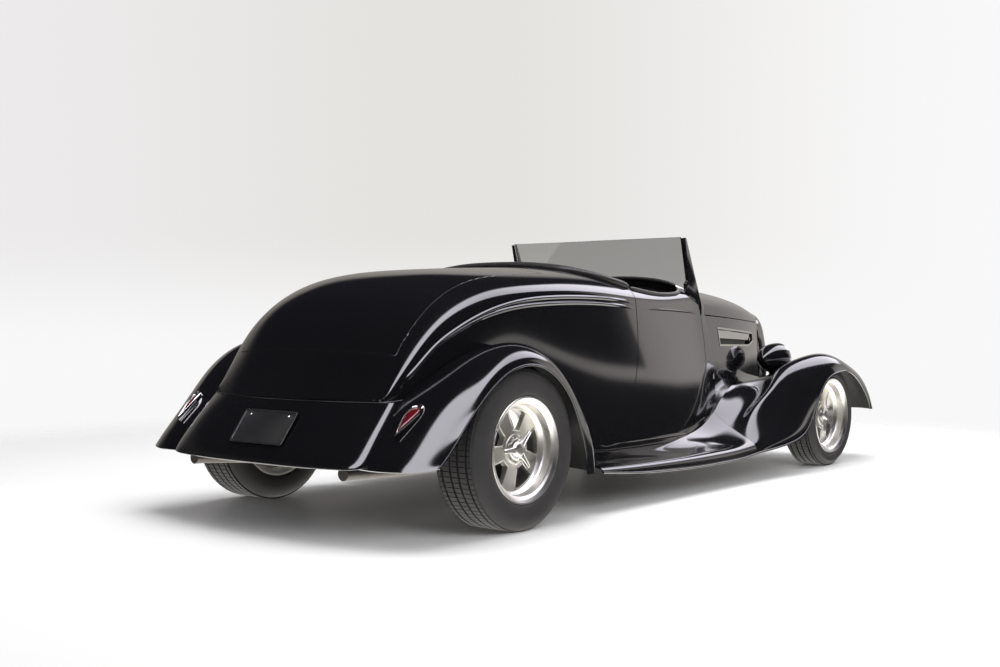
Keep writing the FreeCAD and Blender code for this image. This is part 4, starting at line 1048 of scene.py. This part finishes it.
SPINNER = [
    # distance from the hub, half width, low and high side along the axle
    (12, 15, -44, -30),
    (30, 13.5, -42, -31),
    (40, 11, -41, -31),
    (70, 9.2, -40, -30),
    (90, 8, -39.5, -29.5),
    (93.5, 6.5, -38.5, -31),
]
SPINNER_BEVEL = 2.2


def wheel_and_tyre(label, centre_x, tyre_r, rim_y, width, tyre_w, side, window_turn, spinner_turn):
    """A wheel and its tyre: the label names its place on the car, and the turns are in degrees."""
    body = label + "_wheel"
    node = "wheel_" + label
    hub = at(centre_x, side * rim_y, tyre_r)
    axis = (0, side, 0)

    def spot(angle, radius, depth):
        turn = math.radians(angle)
        return hub + Vector((radius * math.cos(turn), side * depth, radius * math.sin(turn))) / 1000

    back = -width
    barrel = LIP_FRONT + [(back + 71, 164), (back + 56, 180), (back + 10, 181), (back, 200), (back, 209),
                          (back + 10, 209), (back + 14, 190), (back + 60, 188), (back + 75, 172), (-70, 172),
                          (-58, 187), (-14, 189)]
    placed("rim_" + label, spun(barrel, hub, axis, 96, closed=True), polished, node, body=body, sharp=30)
    disc = placed("spokes_" + label, spun(DISC, hub, axis, 80, closed=True), alloy, node, body=body)
    for k in range(5):
        middle = window_turn + 72 * k
        corners = []
        for radius, half in WINDOW:
            corners.append((math.hypot(radius, half), math.degrees(math.atan2(half, radius))))
        ring = corners + [(r, -a) for r, a in reversed(corners[:-1])]
        outline = flowing([Vector((r * math.cos(math.radians(a)), r * math.sin(math.radians(a)), 0))
                           for r, a in ring], 3, closed=True)
        outline = [(math.hypot(p.x, p.y), math.degrees(math.atan2(p.y, p.x))) for p in outline]
        cut(disc, slab([spot(middle + a, r, -110) for r, a in outline], Vector((0, side * 0.07, 0))))
        edge = []
        for r, a in outline:
            level = -69 if r > 150 else -67 - (r - 120) / 15 if r > 120 else -60 - (r - 72) * 7 / 48
            edge.append(spot(middle + a, r, level + 0.6))
        fitted(wire_piece("window_edge_%s_%d" % (label, k), edge, 0.0026, polished, True), body=body)
    disc.data.set_sharp_from_angle(angle=math.radians(30))
    placed("cap_" + label, spun(CAP, hub, axis, 48), polished, node, body=body)
    for k in range(STUDS):
        foot = spot(360 * k / STUDS + 9, 50.5, -51)
        placed("stud_%s_%d" % (label, k), spun(STUD, foot, axis, 12), polished, node, body=body)
    for k, turn in enumerate(spinner_turn):
        loops = []
        for radius, half, low, high in SPINNER:
            rim = half - SPINNER_BEVEL
            shoulder = half - 2 * SPINNER_BEVEL
            trough = half - 2.6 * SPINNER_BEVEL
            section = [(-half, low), (half, low), (half, high - SPINNER_BEVEL), (rim, high), (shoulder, high),
                       (trough, high - 2), (-trough, high - 2), (-shoulder, high), (-rim, high),
                       (-half, high - SPINNER_BEVEL)]
            loops.append([spot(turn + math.degrees(math.atan2(w, radius)), math.hypot(w, radius), d)
                          for w, d in section])
        placed("spinner_%s_%d" % (label, k), ring_skin(loops), polished, node, body=body, sharp=30)

    mid = 0.5 * back
    half = tyre_w / 2
    section = tyre_r - LIP_R
    wall = smooth_profile([(half - 12, LIP_R + 2), (half - 4, LIP_R + 0.14 * section),
                           (half, LIP_R + 0.38 * section), (half - 2.5, LIP_R + 0.62 * section),
                           (half - 11, tyre_r - 19), (half - 19, tyre_r - 9)])
    tread = [(half - 19.5, tyre_r - 8.5), (half - 27, tyre_r - 5)]
    edges = [half - 27, 0.58 * half, 0.52 * half, 0.20 * half, 0.14 * half]
    marks = []
    for outer, inner in ((edges[0], edges[1]), (edges[2], edges[3]), (edges[4], -edges[4]),
                         (-edges[3], -edges[2]), (-edges[1], -edges[0])):
        marks.append((inner, outer))
        tread += [(outer, tyre_r - 4), (inner, tyre_r - 4)]
        if inner > -edges[1]:
            tread += [(inner - 0.6, tyre_r - 9), (inner - (edges[1] - edges[2]) + 0.6, tyre_r - 9)]
    other_wall = [(-a, r) for a, r in reversed(wall)]
    profile = wall + tread + [(-(half - 27), tyre_r - 5), (-(half - 19.5), tyre_r - 8.5)] + other_wall
    profile = [(mid + a, r) for a, r in profile]
    profile += [(back + 11, LIP_R + 1), (back + 14.5, LIP_R - 18), (-14.5, LIP_R - 18), (-11, LIP_R + 1)]
    bm = spun(profile, hub, axis, 92, closed=True)
    blocks = []
    for face in bm.faces:
        middle = face.calc_center_median() - hub
        level = middle.y * side * 1000 - mid
        radius = math.hypot(middle.x, middle.z) * 1000
        if radius > tyre_r - 5.2 and any(low < level < high for low, high in marks):
            blocks.append(face)
    bmesh.ops.inset_individual(bm, faces=blocks, thickness=0.0022, depth=0.0)
    raised = {vert for face in blocks for vert in face.verts}
    for vert in raised:
        away = Vector((vert.co.x - hub.x, 0, vert.co.z - hub.z))
        vert.co += away.normalized() * 0.004
    for face in blocks:
        face.smooth = False
    placed("tread_" + label, bm, rubber, "tyre_" + label, body=body, sharp=24)


WHEELS = [
    # end of the car, axle x, tyre radius, rim face y, rim width, tyre width, turn of windows and of bars
    ("rear_", 0.0, 316.0, 816.0, 206.0, 225.0, 8, (45, -50, 180)),
    ("front_", 2845.0, 280.0, 775.0, 176.0, 188.0, 30, (115, 7, -103)),
]
for end, centre_x, tyre_r, rim_y, width, tyre_w, window_turn, spinner_turn in WHEELS:
    for name, side in (("left", 1), ("right", -1)):
        wheel_and_tyre(end + name, centre_x, tyre_r, rim_y, width, tyre_w, side, window_turn, spinner_turn)

# Cockpit trim
# A padded black roll covers the raw edge of the cockpit, in four lengths: round the back on the tub,
# along each door, and across the cowl above the dash.


def leather_look(start, place):
    pores = start.node("TexVoronoi", {"feature": "DISTANCE_TO_EDGE"}, {"Vector": place, "Scale": 420.0})
    creases = cloud(start, place, 30.0, 5.0)
    worn = cloud(start, place, 5.0, 3.0)
    return {"Base Color": worn.blend((0.012, 0.011, 0.011, 1), (0.024, 0.022, 0.021, 1)),
            "Roughness": 0.42 + 0.16 * creases,
            "Normal": relief(start, pores + 0.8 * creases, 0.0006, 0.35)}


def roll(name, line, width, height, lift, body):
    """Padded roll along a line of points on the cockpit's edge, closed at both ends."""
    points = flowing([at(*p) for p in line], 6)
    loops = []
    for k, point in enumerate(points):
        way = (points[min(k + 1, len(points) - 1)] - points[max(k - 1, 0)]).normalized()
        side_way = Vector((0, 0, 1)).cross(way).normalized()
        up = way.cross(side_way).normalized()
        share = min(1.0, (min(k, len(points) - 1 - k) + 0.35) / 3.0)
        share = math.sqrt(1 - (1 - share) ** 2)
        loops.append([point + up * (lift / 1000) + (side_way * (math.cos(a) * width / 2 * share)
                                                    + up * (math.sin(a) * height / 2 * share)) / 1000
                      for a in [math.tau * j / 20 for j in range(20)]])
    placed(name, ring_skin(loops), leather, body=body)


leather = finish("black_leather", {"Sheen Weight": 0.1, "Sheen Roughness": 0.4, "Coat Weight": 0.35,
                                   "Coat Roughness": 0.22}, leather_look)


def skin_height(x, y):
    """Height of the skin over a place in the cockpit's edge, in millimetres."""
    found, spot, normal, face = skin.ray_cast(at(x, y, 1500), Vector((0, 0, -1)))
    return spot.z * 1000


rear_edge = [(1095, 557), (1000, 530), (930, 482), (862, 400), (834, 320), (820, 200), (812, 90), (811, 0)]
rear_edge = rear_edge + [(x, -y) for x, y in reversed(rear_edge[:-1])]
door_edge = [(1112, 558), (1200, 563), (1300, 564), (1400, 560), (1500, 552), (1570, 541), (1626, 515)]
cowl_edge = [(1650, 476), (1662, 400), (1665, 250), (1667, 90), (1667, 0)]
cowl_edge = cowl_edge + [(x, -y) for x, y in reversed(cowl_edge[:-1])]
roll("cockpit_roll", [(x, y, skin_height(x, y)) for x, y in rear_edge], 46, 34, 6, "chassis")
roll("cowl_roll", [(x, y, skin_height(x, y)) for x, y in cowl_edge], 22, 18, 2, "chassis")
for name, side in (("left", 1), ("right", -1)):
    line = [(x, side * y, skin_height(x, side * y)) for x, y in door_edge]
    roll("door_roll_" + name, line, 24, 18, 2, "door_" + name)

# Seat
# One bench of black hide over foam: a pad each side of the tunnel and a full-width back. Stitched
# channels run front to back on the pads and upright on the back, inside a plain border.


SWELL = 0.016
CHANNEL_DEPTH = 0.0085
CHANNEL_HALF = 0.0075


def pad(name, low, high, shape, seams, front, node):
    """A cushion: a soft closed block that is blown up, then stitched down along its channels."""
    bm = bmesh.new()
    bmesh.ops.create_cube(bm, size=1.0)
    size = Vector(high) - Vector(low)
    middle = (Vector(high) + Vector(low)) / 2
    bmesh.ops.scale(bm, vec=size, verts=bm.verts)
    bmesh.ops.translate(bm, vec=middle, verts=bm.verts)
    bmesh.ops.bevel(bm, geom=bm.edges[:], offset=0.032, offset_type="OFFSET", segments=4, profile=0.5,
                    affect="EDGES", clamp_overlap=True, material=-1)
    for vert in bm.verts:
        vert.co = shape(vert.co)
    piece = shown(name, bm, leather)
    cells = piece.modifiers.new("cells", "REMESH")
    cells.mode = "VOXEL"
    cells.voxel_size = 0.008
    set_solid(piece)
    before = [vert.co.copy() for vert in piece.data.vertices]
    cloth = piece.modifiers.new("cloth", "CLOTH")
    cloth.settings.quality = 4
    cloth.settings.use_pressure = True
    cloth.settings.uniform_pressure_force = 4.0
    cloth.settings.effector_weights.gravity = 0.0
    cloth.settings.mass = 0.4
    cloth.settings.tension_stiffness = 12.0
    cloth.settings.compression_stiffness = 12.0
    cloth.point_cache.frame_start = 1
    cloth.point_cache.frame_end = 20
    for frame_number in range(1, 21):
        bpy.context.scene.frame_set(frame_number)
    set_solid(piece)
    bpy.context.scene.frame_set(1)
    for vert, start_place in zip(piece.data.vertices, before):
        moved = vert.co - start_place
        if moved.length > SWELL:
            vert.co = start_place + moved * (SWELL / moved.length)
    for vert in piece.data.vertices:
        facing = max(0.0, vert.normal.dot(front))
        sunk = 0.0
        for seam in seams:
            sunk += CHANNEL_DEPTH * math.exp(-((vert.co.y - seam) / CHANNEL_HALF) ** 2)
        vert.co = vert.co - Vector(front) * (min(sunk, 0.010) * facing)
    fine = piece.modifiers.new("fine", "SUBSURF")
    fine.levels = 1
    fine.render_levels = 1
    set_solid(piece)
    for face in piece.data.polygons:
        face.use_smooth = True
    fitted(piece, node)


def seat_slope(spot):
    share = (spot.x - at(862, 0, 0).x) / 0.44
    return Vector((spot.x, spot.y, spot.z - 0.030 * (1 - share) * (spot.z - 0.31) / 0.17))


def back_slope(spot):
    share = (spot.z - 0.47) / 0.45
    return Vector((spot.x - 0.052 * share * (spot.x - at(715, 0, 0).x) / 0.13, spot.y, spot.z))


for name, side in (("left", 1), ("right", -1)):
    inner, outer = sorted((side * 0.170, side * 0.468))
    channels = [side * (0.170 + 0.298 * k / 6) for k in range(1, 6)]
    pad("seat_pad_" + name, (at(880, 0, 0).x, inner, 0.318), (at(1292, 0, 0).x, outer, 0.482), seat_slope,
        channels, Vector((0, 0, 1)), "seat_cushion")
back_channels = [0.468 * k / 7 for k in range(-6, 7)]
pad("seat_back_pad", (at(724, 0, 0).x, -0.468, 0.520), (at(846, 0, 0).x, 0.468, 0.912), back_slope,
    back_channels, Vector((0.98, 0, 0.14)).normalized(), "seat_back")

# Inside
# Black carpet on the floor and tunnel, a painted dash with a row of round dials, and a three-spoke
# wheel with a leather rim on a plated column.


def carpet_look(start, place):
    loops = start.node("TexVoronoi", {}, {"Vector": place, "Scale": 260.0})
    worn = cloud(start, place, 7.0, 4.0)
    return {"Base Color": worn.blend((0.012, 0.012, 0.013, 1), (0.030, 0.029, 0.029, 1)),
            "Roughness": 0.85 + 0.12 * loops,
            "Normal": relief(start, loops, 0.002, 0.8)}


def dial_look(start, place):
    return {"Base Color": cloud(start, place, 60.0).blend((0.010, 0.010, 0.011, 1), (0.018, 0.018, 0.020, 1)),
            "Roughness": 0.30 + 0.10 * cloud(start, place, 90.0)}


def mark_look(start, place):
    return {"Base Color": cloud(start, place, 80.0).blend((0.72, 0.71, 0.68, 1), (0.80, 0.79, 0.76, 1)),
            "Roughness": 0.45 + 0.1 * cloud(start, place, 90.0)}


carpet = finish("interior_black", {"Specular IOR Level": 0.15}, carpet_look)
dial_black = finish("dial_black", {"Coat Weight": 0.6}, dial_look)
dial_mark = finish("dial_mark", {"Specular IOR Level": 0.3}, mark_look)
refinish("floor_pan", carpet)
refinish("steering_column", chrome)
softened("dashboard", 0.003, paint, slot="interior_black")
dash_out = Vector((-1, 0, 10 / 180)).normalized()
DIALS = [(392, 50), (268, 50), (120, 27), (40, 27), (-40, 27), (-120, 27)]
DIAL_Z = 925
for k, (y, radius) in enumerate(DIALS):
    face_at = at(1655 + (DIAL_Z - 830) * 10 / 180, y, DIAL_Z) + dash_out * 0.0006
    rim = [(0, radius - 4), (0, radius + 3), (5, radius + 3), (8, radius), (8, radius - 3), (4, radius - 5)]
    placed("dial_rim_%d" % k, spun(rim, face_at, dash_out, 48, closed=True), chrome)
    placed("dial_face_%d" % k, spun([(0, 0), (0, radius), (1.6, radius), (1.6, 0)], face_at, dash_out, 48),
           dial_black)
    upright = (Vector((0, 0, 1)) - dash_out * dash_out.z).normalized()
    level = upright.cross(dash_out)
    marks = [(math.radians(-130 + 26 * j), radius * 0.74, radius * 0.9, radius * 0.022) for j in range(11)]
    marks.append((math.radians(-70 + 31 * k % 90), -radius * 0.12, radius * 0.66, radius * 0.03))
    for j, (angle, inner, outer, half) in enumerate(marks):
        away = upright * math.cos(angle) + level * math.sin(angle)
        wide = upright * -math.sin(angle) + level * math.cos(angle)
        base = face_at + dash_out * (0.0017 if j < 11 else 0.0026)
        tip = [(inner, -half), (inner, half), (outer, half * 0.6), (outer, -half * 0.6)]
        loop = [base + (away * a + wide * w) / 1000 for a, w in tip]
        placed("dial_mark_%d_%d" % (k, j), ring_skin([loop, [p + dash_out * 0.0005 for p in loop]]),
               dial_mark)

column_way = Vector((-328, 0, 200)).normalized()
rim_centre = at(1452, 330, 760) + column_way * 0.0225
wheel_side = Vector((0, 1, 0))
wheel_up = column_way.cross(wheel_side)
grip = [(13.2 * math.sin(a), 172 + 13.2 * math.cos(a)) for a in [math.tau * j / 16 for j in range(16)]]
placed("steering_rim", spun(grip, rim_centre, column_way, 96, closed=True), leather, "steering_wheel",
       body="steering_wheel")
placed("steering_boss", spun(smooth_profile([(-22, 33), (0, 33.5), (8, 30), (14, 18), (16, 0)]), rim_centre,
                             column_way, 48), chrome, "steering_wheel", body="steering_wheel")
SPOKE_SECTION = [(1, -0.6), (1, 0.6), (0.85, 1), (-0.85, 1), (-1, 0.6), (-1, -0.6), (-0.85, -1), (0.85, -1)]
for k, angle in enumerate((90, 210, 330)):
    turn = math.radians(angle)
    away = wheel_up * -math.cos(turn) + wheel_side * math.sin(turn)
    wide = column_way.cross(away)
    loops = []
    for part in range(7):
        r = 24 + 142 * part / 6
        half = 13 - 5 * part / 6 + 4 * (part / 6) ** 3
        lift = 4 * math.sin(math.pi * part / 6)
        loops.append([rim_centre + (away * r + wide * (half * c) + column_way * (lift + 2.4 * s)) / 1000
                      for c, s in SPOKE_SECTION])
    placed("steering_spoke_%d" % k, ring_skin(loops), chrome, "steering_wheel", body="steering_wheel")

# Running gear
# Satin black rails and cross members, a painted rear axle with coil-over units, a drop beam on a leaf
# spring, brake discs, and steel pipes that run back under the floor.


def cast_look(start, place):
    grain = cloud(start, place, 260.0, 4.0)
    return {"Base Color": cloud(start, place, 6.0).blend((0.11, 0.11, 0.112, 1), (0.17, 0.17, 0.168, 1)),
            "Roughness": 0.46 + 0.2 * grain,
            "Metallic": 0.35 + 0.3 * cloud(start, place, 12.0),
            "Normal": relief(start, grain, 0.0010, 0.4)}


def disc_look(start, place):
    rings = start.node("TexNoise", {}, {"Vector": place, "Scale": 140.0, "Detail": 2.0}, 0)
    return {"Base Color": rings.blend((0.40, 0.39, 0.38, 1), (0.52, 0.51, 0.50, 1)),
            "Roughness": 0.24 + 0.16 * rings}


def pipe_look(start, place):
    heat = cloud(start, place, 5.0, 3.0)
    return {"Base Color": heat.blend((0.09, 0.08, 0.075, 1), (0.20, 0.185, 0.17, 1)),
            "Roughness": 0.34 + 0.25 * cloud(start, place, 60.0)}


cast_grey = finish("engine_grey", {"Specular IOR Level": 0.4}, cast_look)
disc_steel = finish("brake_steel", {"Metallic": 1.0}, disc_look)
pipe_steel = finish("exhaust_black", {"Metallic": 0.8}, pipe_look)
softened("engine_block", 0.012, cast_grey)
softened("radiator", 0.006, satin)
softened("fuel_tank", 0.018, satin)
for finish_used, pieces in ((satin, ("frame_rails", "rear_axle", "front_axle", "front_spring")),
                            (disc_steel, ("rear_suspension", "tie_rod", "knuckle_left", "knuckle_right")),
                            (pipe_steel, ("exhaust_pipes",))):
    for node in pieces:
        refinish(node, finish_used)

bpy.data.objects.remove(skin)
